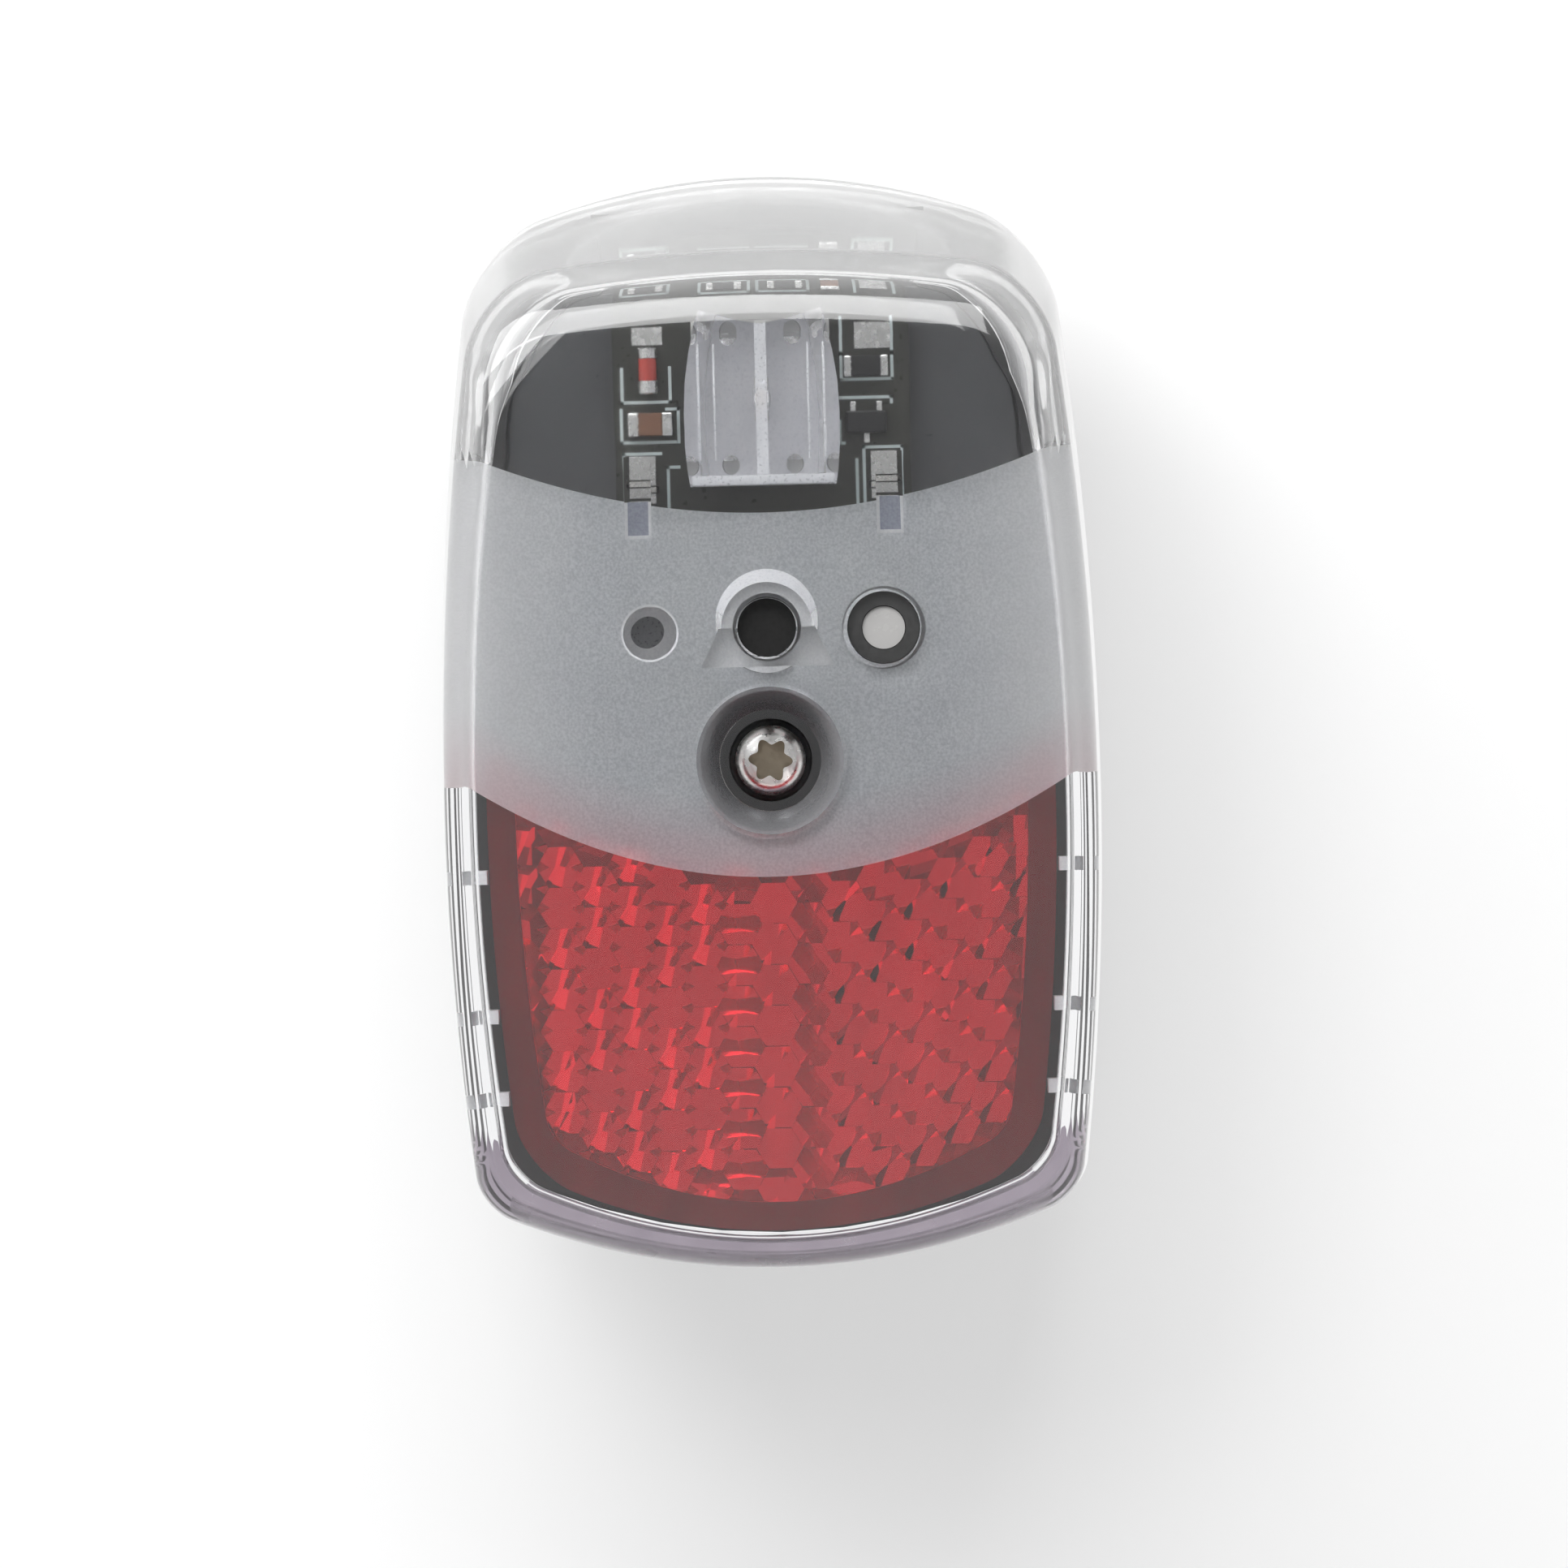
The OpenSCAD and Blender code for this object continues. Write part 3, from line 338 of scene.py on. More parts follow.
def circle(bm, x, z, r, u, steps):
    angles = [2 * math.pi * k / steps for k in range(steps)]
    return [bm.verts.new(at(x + r * math.cos(a), u, z + r * math.sin(a))) for a in angles]


def prism(outline, u0, u1, slot=0):
    """A closed solid over an outline of x and z, from u0 to u1."""
    bm = bmesh.new()
    low = [bm.verts.new(at(x, u0, z)) for x, z in outline]
    high = [bm.verts.new(at(x, u1, z)) for x, z in outline]
    bm.faces.new(low)
    bm.faces.new(high)
    bridge(bm, low, high)
    return in_slot(bm, slot)


def turned(profile, x, z, steps=96, slot=0):
    """A solid of revolution about an axis that points out from the mudguard, from (r, u) pairs."""
    bm = bmesh.new()
    rings = []
    for r, u in profile:
        rings.append(circle(bm, x, z, r, u, steps) if r else [bm.verts.new(at(x, u, z))])
    for a, b in zip(rings, rings[1:]):
        if len(a) == 1:
            for k in range(steps):
                bm.faces.new((a[0], b[(k + 1) % steps], b[k]))
        elif len(b) == 1:
            for k in range(steps):
                bm.faces.new((a[k], a[(k + 1) % steps], b[0]))
        else:
            bridge(bm, a, b)
    return in_slot(bm, slot)


def rod(x, z, u0, u1, r, slot=0):
    return turned([(0, u0), (r, u0), (r, u1), (0, u1)], x, z, slot=slot)


def box(x0, x1, u0, u1, z0, z1, slot=0):
    return prism([(x0, z0), (x1, z0), (x1, z1), (x0, z1)], u0, u1, slot)


def taper(first, second, slot, steps=96):
    """A solid between two circles, each x, z, r and u, that need not share a centre."""
    bm = bmesh.new()
    rings = [circle(bm, *ring, steps) for ring in (first, second)]
    for ring in rings:
        bm.faces.new(ring)
    bridge(bm, *rings)
    return in_slot(bm, slot)


def combine(target, tool, how):
    """Adds, cuts or keeps the common part of a closed tool, and throws the tool away."""
    tool = object_of("tool", tool, [s.material for s in target.material_slots])
    mod = target.modifiers.new("combine", "BOOLEAN")
    mod.object, mod.operation, mod.solver = tool, how, "MANIFOLD"
    graph = bpy.context.evaluated_depsgraph_get()
    mesh = bpy.data.meshes.new_from_object(target.evaluated_get(graph))
    target.modifiers.clear()
    old = target.data
    target.data = mesh
    bpy.data.meshes.remove(old)
    waste = tool.data
    bpy.data.objects.remove(tool)
    bpy.data.meshes.remove(waste)


def merge(bm, part):
    """Moves a part's faces into a mesh."""
    bmesh.ops.recalc_face_normals(part, faces=part.faces)
    mesh = bpy.data.meshes.new("part")
    part.to_mesh(mesh)
    part.free()
    bm.from_mesh(mesh)
    bpy.data.meshes.remove(mesh)


def add_to(bm, part, slot):
    merge(bm, in_slot(part, slot))


def bevelled(bm, mm, segments=2, degrees=30):
    bmesh.ops.recalc_face_normals(bm, faces=bm.faces)
    sharp = math.radians(degrees)
    edges = [e for e in bm.edges if len(e.link_faces) == 2 and e.calc_face_angle(0) > sharp]
    bmesh.ops.bevel(bm, geom=edges, offset=mm / 1000, offset_type="OFFSET", segments=segments, profile=0.5,
                    affect="EDGES", clamp_overlap=True)
    return bm


def slice_off(bm, place, normal):
    """Cuts off what lies past a plane, and closes the cut."""
    cut = bmesh.ops.bisect_plane(bm, geom=bm.verts[:] + bm.edges[:] + bm.faces[:], plane_co=place,
                                 plane_no=normal, clear_outer=True)
    edges = [e for e in cut["geom_cut"] if isinstance(e, bmesh.types.BMEdge)]
    return bmesh.ops.contextual_create(bm, geom=edges)["faces"]


def smooth(obj, degrees=30):
    for p in obj.data.polygons:
        p.use_smooth = True
    obj.data.set_sharp_from_angle(angle=math.radians(degrees))


# The barrel outline, as in the part's source
def arc(cx, cz, r, a0, a1, n):
    angles = [math.radians(a0 + (a1 - a0) * i / n) for i in range(n + 1)]
    return [(cx + r * math.cos(a), cz + r * math.sin(a)) for a in angles]


def between(p, q, n):
    return [(p[0] + (q[0] - p[0]) * i / n, p[1] + (q[1] - p[1]) * i / n) for i in range(1, n)]


def barrel(w, zb, zt, rb, rt, sag=REAR_SAG, corner=18, side=40, end=40):
    """A round-cornered outline from zb to zt, drawn in above and below the waist, with both ends bowed."""
    pts = (
        arc(w - rb, zb + rb, rb, -90, 0, corner) + between((w, zb + rb), (w, zt - rt), side)
        + arc(w - rt, zt - rt, rt, 0, 90, corner) + between((w - rt, zt), (rt - w, zt), end)
        + arc(rt - w, zt - rt, rt, 90, 180, corner) + between((-w, zt - rt), (-w, zb + rb), side)
        + arc(rb - w, zb + rb, rb, 180, 270, corner) + between((rb - w, zb), (w - rb, zb), end)
    )
    out = []
    for x, z in pts:
        s = x / w
        if z > WAIST_Z:
            v, draw, bow = (z - WAIST_Z) / (zt - WAIST_Z), TOP_DRAW, -sag
        else:
            v, draw, bow = (WAIST_Z - z) / (WAIST_Z - zb), FOOT_DRAW, FOOT_SAG
        out.append((x * (1 - draw / w * v * v), z + bow * s * s * v))
    return out


def half_at(z, w, zb):
    """The half width of a barrel at a height below the waist."""
    return w - FOOT_DRAW * ((WAIST_Z - z) / (WAIST_Z - zb - FOOT_SAG)) ** 2


# The cover
def fall(d):
    return ROOF_FALL * (max(d, 0) / DEPTH) ** 1.3


def section(d, inset, edge, part):
    """The outline of a skin at a depth d, with a part of the front edge's rounding."""
    k = max(d, 0) / DEPTH
    _, side, top, bottom = edge
    return barrel(
        HALF_W - inset - SIDE_DRAFT * k - side * part, inset + FOOT_DRAFT * k + bottom * part,
        HEIGHT - inset - fall(d) - top * part, FOOT_CORNER, TOP_CORNER, REAR_SAG + (FRONT_SAG - REAR_SAG) * k,
    )


def skin_rings(inset, front, edge):
    """The rings of one skin of the cover, from its rear edge to its tip, and the tip."""
    run_steps, edge_steps, crown_steps = 36, 20, 22
    depth = DEPTH - front
    run = depth - edge[0]
    rings = []
    for i in range(run_steps + 1):
        d = run * i / run_steps
        rings.append([(x, COVER_REAR + d, z) for x, z in section(d, inset, edge, 0)])
    for i in range(1, edge_steps + 1):
        a = math.radians(90 * i / edge_steps)
        d = run + edge[0] * math.sin(a)
        rings.append([(x, COVER_REAR + d, z) for x, z in section(d, inset, edge, 1 - math.cos(a))])
    last = section(depth, inset, edge, 1)
    mid = (HEIGHT - fall(depth) - OUTER_EDGE[2] + FOOT_DRAFT * depth / DEPTH + OUTER_EDGE[3]) / 2
    for i in range(1, crown_steps):
        s = 1 - i / crown_steps
        u = COVER_REAR + depth + CROWN * (1 - s * s)
        rings.append([(x * s, u, mid + (z - mid) * s) for x, z in last])
    return rings, (0, COVER_REAR + depth + CROWN, mid)


def frost_top(x):
    return FROST_TOP + FROST_TOP_RISE * (x / FROST_HALF) ** 2


def frost_low(x):
    return FROST_LOW + FROST_LOW_RISE * (x / FROST_HALF) ** 2


def knife(faces, line):
    """Cuts faces along the curve where z meets a line over x, so that the edge of the frost is crisp."""
    def off(co):
        return co.z * 1000 + BOLT_Z - line(co.x * 1000)

    made = set()
    for e in {e for f in faces for e in f.edges}:
        a, b = e.verts
        above = off(a.co) >= 0
        if above != (off(b.co) >= 0):
            lo, hi = 0.0, 1.0
            for _ in range(30):
                t = (lo + hi) / 2
                if (off(a.co.lerp(b.co, t)) >= 0) == above:
                    lo = t
                else:
                    hi = t
            made.add(bmesh.utils.edge_split(e, a, min(max(t, 0.001), 0.999))[1])
    for f in faces:
        on = [v for v in f.verts if v in made]
        if len(on) == 2:
            bmesh.utils.face_split(f, on[0], on[1])


def skin(bm, rings, tip, slot):
    grid = [[bm.verts.new(at(*p)) for p in ring] for ring in rings]
    faces = []
    for a, b in zip(grid, grid[1:]):
        faces += bridge(bm, a, b)
    end = bm.verts.new(at(*tip))
    last = grid[-1]
    n = len(last)
    faces += [bm.faces.new((last[i], last[(i + 1) % n], end)) for i in range(n)]
    for f in faces:
        f.material_index = slot
    return grid


def skin_normals(inset, front, edge, flip):
    """A tree over one whole skin, and its smooth normals, to shade what is left after the cuts."""
    bm = bmesh.new()
    rings, tip = skin_rings(inset, front, edge)
    skin(bm, rings, tip, 0)
    bmesh.ops.triangulate(bm, faces=bm.faces)
    bm.normal_update()
    bm.verts.ensure_lookup_table()
    tree = BVHTree.FromBMesh(bm)
    inside = at(0, 20, 38)
    normals = []
    for v in bm.verts:
        n = v.normal.copy()
        if n.dot(v.co - inside) < 0:
            n.negate()
        normals.append(-n if flip else n)
    tris = [[(v.co.copy(), normals[v.index]) for v in f.verts] for f in bm.faces]
    bm.free()
    return tree, tris


def smooth_normal(source, co):
    tree, tris = source
    hit = tree.find_nearest(co)
    tri = tris[hit[2]]
    weights = poly_3d_calc([p for p, _ in tri], hit[0])
    n = Vector()
    for w, (_, normal) in zip(weights, tri):
        n += normal * w
    return n.normalized()


# While the cover is cut, the material slots of its faces say where they come from
TAGS = ("outer", "inner", "frosted", "cut")
OUTER_TAG, INNER_TAG, FROSTED_TAG, CUT_TAG = range(4)
LENS_MATERIALS = [CLEAR, FROSTED, PALE, DIM, SMOKE, FLARE_PAINTED_SHADE, WINDOW, PAINTED_HIGHLIGHT, RIM, LOWER_RIM_PAINTED_SHADE, HAZE]


def lens_skins():
    """Both skins of the cover and its rear rim, with the frosted band marked on the inner one."""
    bm = bmesh.new()
    outer = skin(bm, *skin_rings(0, 0, OUTER_EDGE), OUTER_TAG)
    inner = skin(bm, *skin_rings(WALL, FRONT, INNER_EDGE), INNER_TAG)
    for f in bridge(bm, outer[0], inner[0]):
        f.material_index = CUT_TAG
    for line in (frost_top, frost_low):
        knife([f for f in bm.faces if f.material_index == INNER_TAG], line)
    for f in bm.faces:
        if f.material_index == INNER_TAG:
            c = f.calc_center_median()
            x, z = c.x * 1000, c.z * 1000 + BOLT_Z
            if frost_low(x) < z < frost_top(x):
                f.material_index = FROSTED_TAG
    return bm


def lens_additions():
    """The screw well, the button's collar and bell, the guide's collar, the pin, the pegs and the ribs."""
    collar = [(0, 29.0), (2.45, 29.0), (2.45, 33.6), (3.25, 33.6), (3.25, FACE_MID + 0.4),
              (0, FACE_MID + 0.4)]
    bell = [(-3.44, BUTTON_Z), (3.44, BUTTON_Z), (4.73, BUTTON_Z - 2.8), (-4.73, BUTTON_Z - 2.8)]
    locating_pin = [(0, 15.6), (1.1, 15.6), (1.1, 17.1), (1.9, 17.1), (1.9, 34.1), (2.06, 34.1),
                    (2.06, FACE_MID), (0, FACE_MID)]
    mouth = [(0, 32.9), (4.85, 32.9), (5.4, 34.6), (5.8, FACE_MID), (0, FACE_MID)]
    tools = [
        rod(0, SCREW_Z, 17.5, FACE_MID, 4.85, CUT_TAG),
        turned(mouth, 0, SCREW_Z, slot=CUT_TAG),
        turned(collar, 0, BUTTON_Z, slot=CUT_TAG),
        prism(bell, 31.0, FACE_MID, CUT_TAG),
        rod(GUIDE_X, GUIDE_Z, 29.0, FACE_MID, 2.95, CUT_TAG),
        turned(locating_pin, -GUIDE_X, GUIDE_Z, slot=CUT_TAG),
    ]
    for side in (-1, 1):
        x = side * PEG_X
        tools.append(box(x - 0.95, x + 0.95, 17.1, FACE_MID - 0.3, 55.2, 58.5, CUT_TAG))
        tools.append(box(x - 0.95, x + 0.95, 29.5, FACE_MID - 0.3, 52.6, 55.3, CUT_TAG))
        tools.append(box(x - 0.72, x + 0.72, 28.5, 30.0, 52.83, 55.3, CUT_TAG))
        tools.append(box(side * 9.8 - 1.9, side * 9.8 + 1.9, 12.2, 15.0, 72.15, 74.7, CUT_TAG))
        for z in (28.7, 18.7, 12.8):
            edge = half_at(z, REFLECTOR_W, REFLECTOR_FOOT) + 0.2
            wall = half_at(z, HALF_W - WALL * 0.6 - SIDE_DRAFT, WALL)
            tools.append(box(*sorted((side * edge, side * wall)), 26.5, 31.1, z - 0.5, z + 0.5, CUT_TAG))
    return tools


def lens_cuts():
    """The well and its flare, the screw's hole, the button's hole and the guide's."""
    well = [(0, 19.0), (3.65, 19.0), (3.65, 33.1), (5.28, 36.2), (5.62, 36.5), (6.62, 37.5), (0, 37.5)]
    button = [(0, 28.0), (2.1, 28.0), (2.1, 36.2), (2.3, 36.4), (3.4, 37.5), (0, 37.5)]
    guide = [(0, 28.0), (2.6, 28.0), (2.6, 35.98), (2.88, 36.26), (4.12, 37.5), (0, 37.5)]
    return [
        turned(well, 0, SCREW_Z, slot=CUT_TAG),
        rod(0, SCREW_Z, 16.5, 20.0, 1.6, CUT_TAG),
        turned(button, 0, BUTTON_Z, slot=CUT_TAG),
        turned(guide, GUIDE_X, GUIDE_Z, slot=CUT_TAG),
    ]


def cut_material(x, u, z, normal):
    """The material of a face of the cover's fittings, by where it lies and how it faces."""
    blunt = normal.y > 0.9
    from_screw = math.hypot(x, z - SCREW_Z)
    if from_screw < 5.2 and u > 19.5 and normal.y < 0.5:
        # The flare facing the front is made dark, a painted reflection of the lamp's dark inside
        if normal.y < -0.2:
            return FLARE_PAINTED_SHADE
        return SMOKE if from_screw < 4.7 else CLEAR
    if blunt and 26.8 < u < 32.0 and abs(x) < 12:
        return WINDOW if z > 52 and u < 29 else PALE
    # The upper arc of the button's countersink is made pale as a painted highlight, the white crescent that
    # the clear plastic throws back there
    if 34.2 < u < 35.5 and 3.2 < math.hypot(x, z - BUTTON_Z) < 4.6 and z > BUTTON_Z + 1.2:
        return PAINTED_HIGHLIGHT
    # At its foot the rear rim is tinted dark as painted shade
    if blunt and u < COVER_REAR + 0.1:
        return LOWER_RIM_PAINTED_SHADE if z < 9 else RIM if z > 40 else CLEAR
    if abs(x) > 19 and 26 < u < 31.5 and z < 30:
        return PALE
    if blunt and math.hypot(x + GUIDE_X, z - GUIDE_Z) < 2.1:
        return PALE if u > 17 else DIM
    if blunt and 33.5 < u < 33.7:
        return PALE
    return CLEAR


def lens_material(tag, x, u, z, normal):
    if tag == CUT_TAG:
        return cut_material(x, u, z, normal)
    if tag == FROSTED_TAG:
        return FROSTED
    if tag == OUTER_TAG and z > frost_top(x):
        return HAZE
    # Painted shade: the underside of the cover near the rear is tinted dark
    if tag == OUTER_TAG and z < 6 and normal.z < -0.8 and u < 32:
        return LOWER_RIM_PAINTED_SHADE
    return CLEAR


def make_lens():
    tags = [bpy.data.materials.new(tag) for tag in TAGS]
    lens = object_of("clear_cover", lens_skins(), tags)
    countersink = taper((0, BUTTON_Z + 0.45, 3.75, 34.3), (0, BUTTON_Z, 3.25, 35.4), CUT_TAG)
    combine(lens, countersink, "DIFFERENCE")
    for tool in lens_additions():
        combine(lens, tool, "UNION")
    for tool in lens_cuts():
        combine(lens, tool, "DIFFERENCE")

    smooth(lens)
    mesh = lens.data
    kinds = [TAGS.index(mesh.materials[p.material_index].name) for p in mesh.polygons]
    mesh.materials.clear()
    for m in LENS_MATERIALS:
        mesh.materials.append(m)
    for m in tags:
        bpy.data.materials.remove(m)
    sources = {
        OUTER_TAG: skin_normals(0, 0, OUTER_EDGE, False),
        INNER_TAG: skin_normals(WALL, FRONT, INNER_EDGE, True),
    }
    sources[FROSTED_TAG] = sources[INNER_TAG]
    normals = [(0, 0, 0)] * len(mesh.loops)
    for p, tag in zip(mesh.polygons, kinds):
        x, u, z = p.center.x * 1000, -p.center.y * 1000, p.center.z * 1000 + BOLT_Z
        p.material_index = LENS_MATERIALS.index(lens_material(tag, x, u, z, p.normal))
        source = sources.get(tag)
        if source:
            for li in p.loop_indices:
                normals[li] = smooth_normal(source, mesh.vertices[mesh.loops[li].vertex_index].co)
    mesh.normals_split_custom_set(normals)
    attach(lens, "cover")
    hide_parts("lens_cover")


make_lens()


# Reflector: corner cubes on the ends of six-sided pins, leaning outwards in the two outer fields
PLATE_MATERIALS = [RED, PAINTED_GLINT, BORDER]
RED_SLOT, PAINTED_GLINT_SLOT, BORDER_SLOT = range(3)


def reflector_outline(border, corner=4.0):
    r = ARC_R + border
    pts = barrel(REFLECTOR_W - border, REFLECTOR_FOOT + border, ARC_Z, corner, 4.0)
    pts = [p for p in pts if math.hypot(p[0], p[1] - ARC_Z) > r]
    start = max(range(len(pts)), key=lambda i: pts[i][1] if pts[i][0] < 0 else -1)
    pts = pts[start:] + pts[:start]
    a0 = math.degrees(math.atan2(pts[-1][1] - ARC_Z, pts[-1][0]))
    a1 = math.degrees(math.atan2(pts[0][1] - ARC_Z, pts[0][0]))
    if a1 > a0:
        a1 -= 360
    return pts + arc(0, ARC_Z, r, a0, a1, 60)[1:-1]


def pin(x, z, lean, tip, bevels):
    """One six-sided pin whose end is a cube corner, turned by a lean about the upright and level axes.
    Each bevel is an angle round the pin, a width and a material slot."""
    r = PITCH / math.sqrt(3) + 0.01
    corners = [(r * math.cos(math.radians(60 * k)), r * math.sin(math.radians(60 * k))) for k in range(6)]
    bm = prism([(x + cx, z + cz) for cx, cz in corners], REFLECTOR_U0 + 0.6, REFLECTOR_U0 - 6.0)
    turn = Matrix.Rotation(math.radians(lean[0]), 3, "Z") @ Matrix.Rotation(math.radians(lean[1]), 3, "X")
    slope = math.atan(math.sqrt(2))
    planes = []
    for k in range(3):
        a = math.radians(120 * k + 60)
        face = Vector((math.cos(a) * math.sin(slope), math.cos(slope), math.sin(a) * math.sin(slope)))
        planes.append(turn @ face)
    drop = max(0.0, max((n.x * cx + n.z * cz) / n.y for cx, cz in corners for n in planes))
    apex = at(x, REFLECTOR_U0 - drop - tip, z)
    for n in planes:
        slice_off(bm, apex, n)
    flat = PITCH / 2
    for angle, width, slot in bevels:
        a = math.radians(angle)
        side = Vector((math.cos(a), 0, math.sin(a)))
        rim = [v.co for v in bm.verts if (v.co - at(x, 0, z)).dot(side) > (flat - 0.05) / 1000]
        place = at(x, 0, z) + side * (flat - width) / 1000
        place.y = max(co.y for co in rim)
        for f in slice_off(bm, place, side + Vector((0, 1, 0))):
            f.material_index = slot
    return bm


def bevels_of(i, j):
    """A bevel painted bright as a glint on a slanting edge of each pin off the middle column, and a dark one
    under some.
    """
    bevels = []
    if abs(i) == 1:
        bevels.append((30 if i < 0 else 150, 0.62, PAINTED_GLINT_SLOT))
    elif i:
        bevels.append((-30 if i < 0 else 210, 0.38, PAINTED_GLINT_SLOT))
    if (i + 2 * j) % 3:
        bevels.append((270, 0.3, RED_SLOT))
    return bevels


def lean_of(x):
    if abs(x) > 3.3:
        return (11.0, 0.0) if x < 0 else (-11.0, 0.0)
    return (0.0, 4.0)


def make_reflector():
    body = prism(reflector_outline(0), REFLECTOR_U0, REFLECTOR_U1)
    plate = object_of("reflector", body, PLATE_MATERIALS)
    # Neighbouring pins share walls, so they are joined in three sets without neighbours
    sets = [bmesh.new() for _ in range(3)]
    for i in range(-8, 9):
        for j in range(0, 16):
            x = i * PITCH * math.sqrt(3) / 2
            z = PITCH * (j + (i % 2) / 2)
            if abs(x) > 20.5 or z < 2 or z > 46:
                continue
            merge(sets[(i - (j - (i - i % 2) // 2)) % 3], pin(x, z, lean_of(x), 0.06, bevels_of(i, j)))
    field = object_of("pins", sets[0], PLATE_MATERIALS)
    for bm in sets[1:]:
        combine(field, bm, "UNION")
    inside = reflector_outline(2.0, 1.6)
    # The cut walls of the pins at the field's edge are painted bright as glints too
    combine(field, prism(inside, REFLECTOR_U0 - 8, REFLECTOR_U0 + 0.3, PAINTED_GLINT_SLOT), "INTERSECT")
    bm = bmesh.new()
    bm.from_mesh(field.data)
    waste = field.data
    bpy.data.objects.remove(field)
    bpy.data.meshes.remove(waste)
    combine(plate, bm, "UNION")
    for p in plate.data.polygons:
        if p.normal.y > 0.99 and abs(-p.center.y * 1000 - REFLECTOR_U0) < 0.05:
            p.material_index = BORDER_SLOT
    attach(plate, "cover")
    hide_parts("reflector_plate")


make_reflector()


# What sits on the board
def chip(bm, x, z, w, h, t, cap):
    """A chip part with a body and two soldered ends, along its longer side."""
    across = w > h
    length, width = (w, h) if across else (h, w)

    def lump(a0, a1, b, top):
        if across:
            return box(x + a0, x + a1, BOARD_U, BOARD_U + top, z - b, z + b)
        return box(x - b, x + b, BOARD_U, BOARD_U + top, z + a0, z + a1)

    add_to(bm, bevelled(lump(cap - length / 2, length / 2 - cap, width / 2 - 0.03, t), 0.05), 0)
    for a0, a1 in ((-length / 2, cap - length / 2), (length / 2 - cap, length / 2)):
        add_to(bm, bevelled(lump(a0, a1, width / 2, t + 0.02), 0.1, 3), 1)


def make_resistors():
    bm = bmesh.new()
    chip(bm, 7.6, 64.9, 3.2, 1.6, 0.6, 0.55)
    for x, z in ((-8.4, 71.9), (-2.6, 71.6), (1.9, 71.6)):
        chip(bm, x, z, 2.6, 1.3, 0.6, 0.55)
    part = object_of("chip_resistors", bm, [CHIP, SOLDER])
    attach(part, "base")
    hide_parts("resistors")


def make_capacitors():
    bm = bmesh.new()
    chip(bm, -8.1, 61.0, 3.2, 1.7, 1.2, 0.75)
    chip(bm, 5.2, 71.8, 1.4, 2.2, 1.0, 0.5)
    part = object_of("chip_capacitors", bm, [BROWN, SOLDER])
    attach(part, "base")
    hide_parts("capacitors")


def make_diode():
    """A glass body between two soldered ends, along the board."""
    bm = bmesh.new()
    steps, edge = 32, 0.08
    angles = [2 * math.pi * k / steps for k in range(steps)]
    for slot, z0, z1, r in ((0, 64.1, 65.9, 0.66), (1, 63.2, 64.2, 0.7), (1, 65.8, 66.6, 0.7)):
        rings = []
        for z, rr in ((z0, r - edge), (z0 + edge, r), (z1 - edge, r), (z1, r - edge)):
            rings.append([
                bm.verts.new(at(-8.2 + rr * math.cos(a), BOARD_U + 0.7 + rr * math.sin(a), z)) for a in angles
            ])
        made = [bm.faces.new(rings[0]), bm.faces.new(rings[-1])]
        for a, b in zip(rings, rings[1:]):
            made += bridge(bm, a, b)
        for f in made:
            f.material_index = slot
    part = object_of("glass_diode", bm, [GLASS_RED, SOLDER])
    smooth(part)
    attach(part, "base")
    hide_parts("diode")


def make_driver():
    bm = bmesh.new()
    add_to(bm, bevelled(box(6.1, 9.0, BOARD_U + 0.1, BOARD_U + 1.1, 60.0, 61.6), 0.12), 0)
    for x, z0, z1 in ((6.6, 61.4, 62.3), (8.5, 61.4, 62.3), (7.55, 59.3, 60.2)):
        add_to(bm, bevelled(box(x - 0.2, x + 0.2, BOARD_U, BOARD_U + 0.2, z0, z1), 0.05), 1)
    part = object_of("driver", bm, [CHIP, SOLDER])
    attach(part, "base")
    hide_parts("driver_chip")


def make_board_marks():
    """Lines round the parts, each on the left, right, lower and upper sides that its letters name, and the
    pale pad behind the lamp."""
    ink = 0.22
    bm = bmesh.new()

    def stroke(x0, x1, z0, z1, slot=0, rise=0.03):
        add_to(bm, box(x0, x1, BOARD_U - 0.01, BOARD_U + rise, z0, z1), slot)

    for x0, x1, z0, z1, sides in (
        (-10.3, -6.6, 70.8, 72.95, "lrdu"), (-4.5, -0.65, 70.5, 72.7, "lrdu"),
        (-0.25, 3.7, 70.5, 72.7, "lrdu"), (6.9, 10.0, 70.4, 73.2, "lru"),
        (-10.2, -6.5, 62.5, 65.2, "lrd"), (-10.3, -6.2, 59.6, 62.2, "ld"),
        (-7.0, -5.95, 61.9, 62.2, "u"), (-7.0, -5.95, 59.6, 62.2, "r"), (-10.2, -7.3, 54.2, 59.0, "lu"),
        (-7.0, -6.0, 54.4, 58.0, "lu"), (5.7, 9.6, 63.8, 66.0, "lrd"), (5.7, 9.6, 65.7, 68.3, "lr"),
        (5.6, 9.5, 59.2, 62.7, "u"), (5.6, 9.5, 62.1, 62.7, "r"), (5.5, 6.0, 59.2, 61.0, "ld"),
        (7.2, 10.2, 54.4, 59.1, "lru"), (5.9, 6.9, 54.6, 58.2, "rd"),
    ):
        if "l" in sides:
            stroke(x0, x0 + ink, z0, z1)
        if "r" in sides:
            stroke(x1 - ink, x1, z0, z1)
        if "d" in sides:
            stroke(x0, x1, z0, z0 + ink)
        if "u" in sides:
            stroke(x0, x1, z1 - ink, z1)
    stroke(-5.0, 5.0, 57.1, 68.1, 1)
    for z in (58.2, 59.7, 66.6):
        stroke(-4.2, 4.2, z, z + 0.55, 2, 0.06)
    part = object_of("board_marks", bm, [INK, CERAMIC, SOLDER])
    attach(part, "base")


make_resistors()
make_capacitors()
make_diode()
make_driver()
make_board_marks()


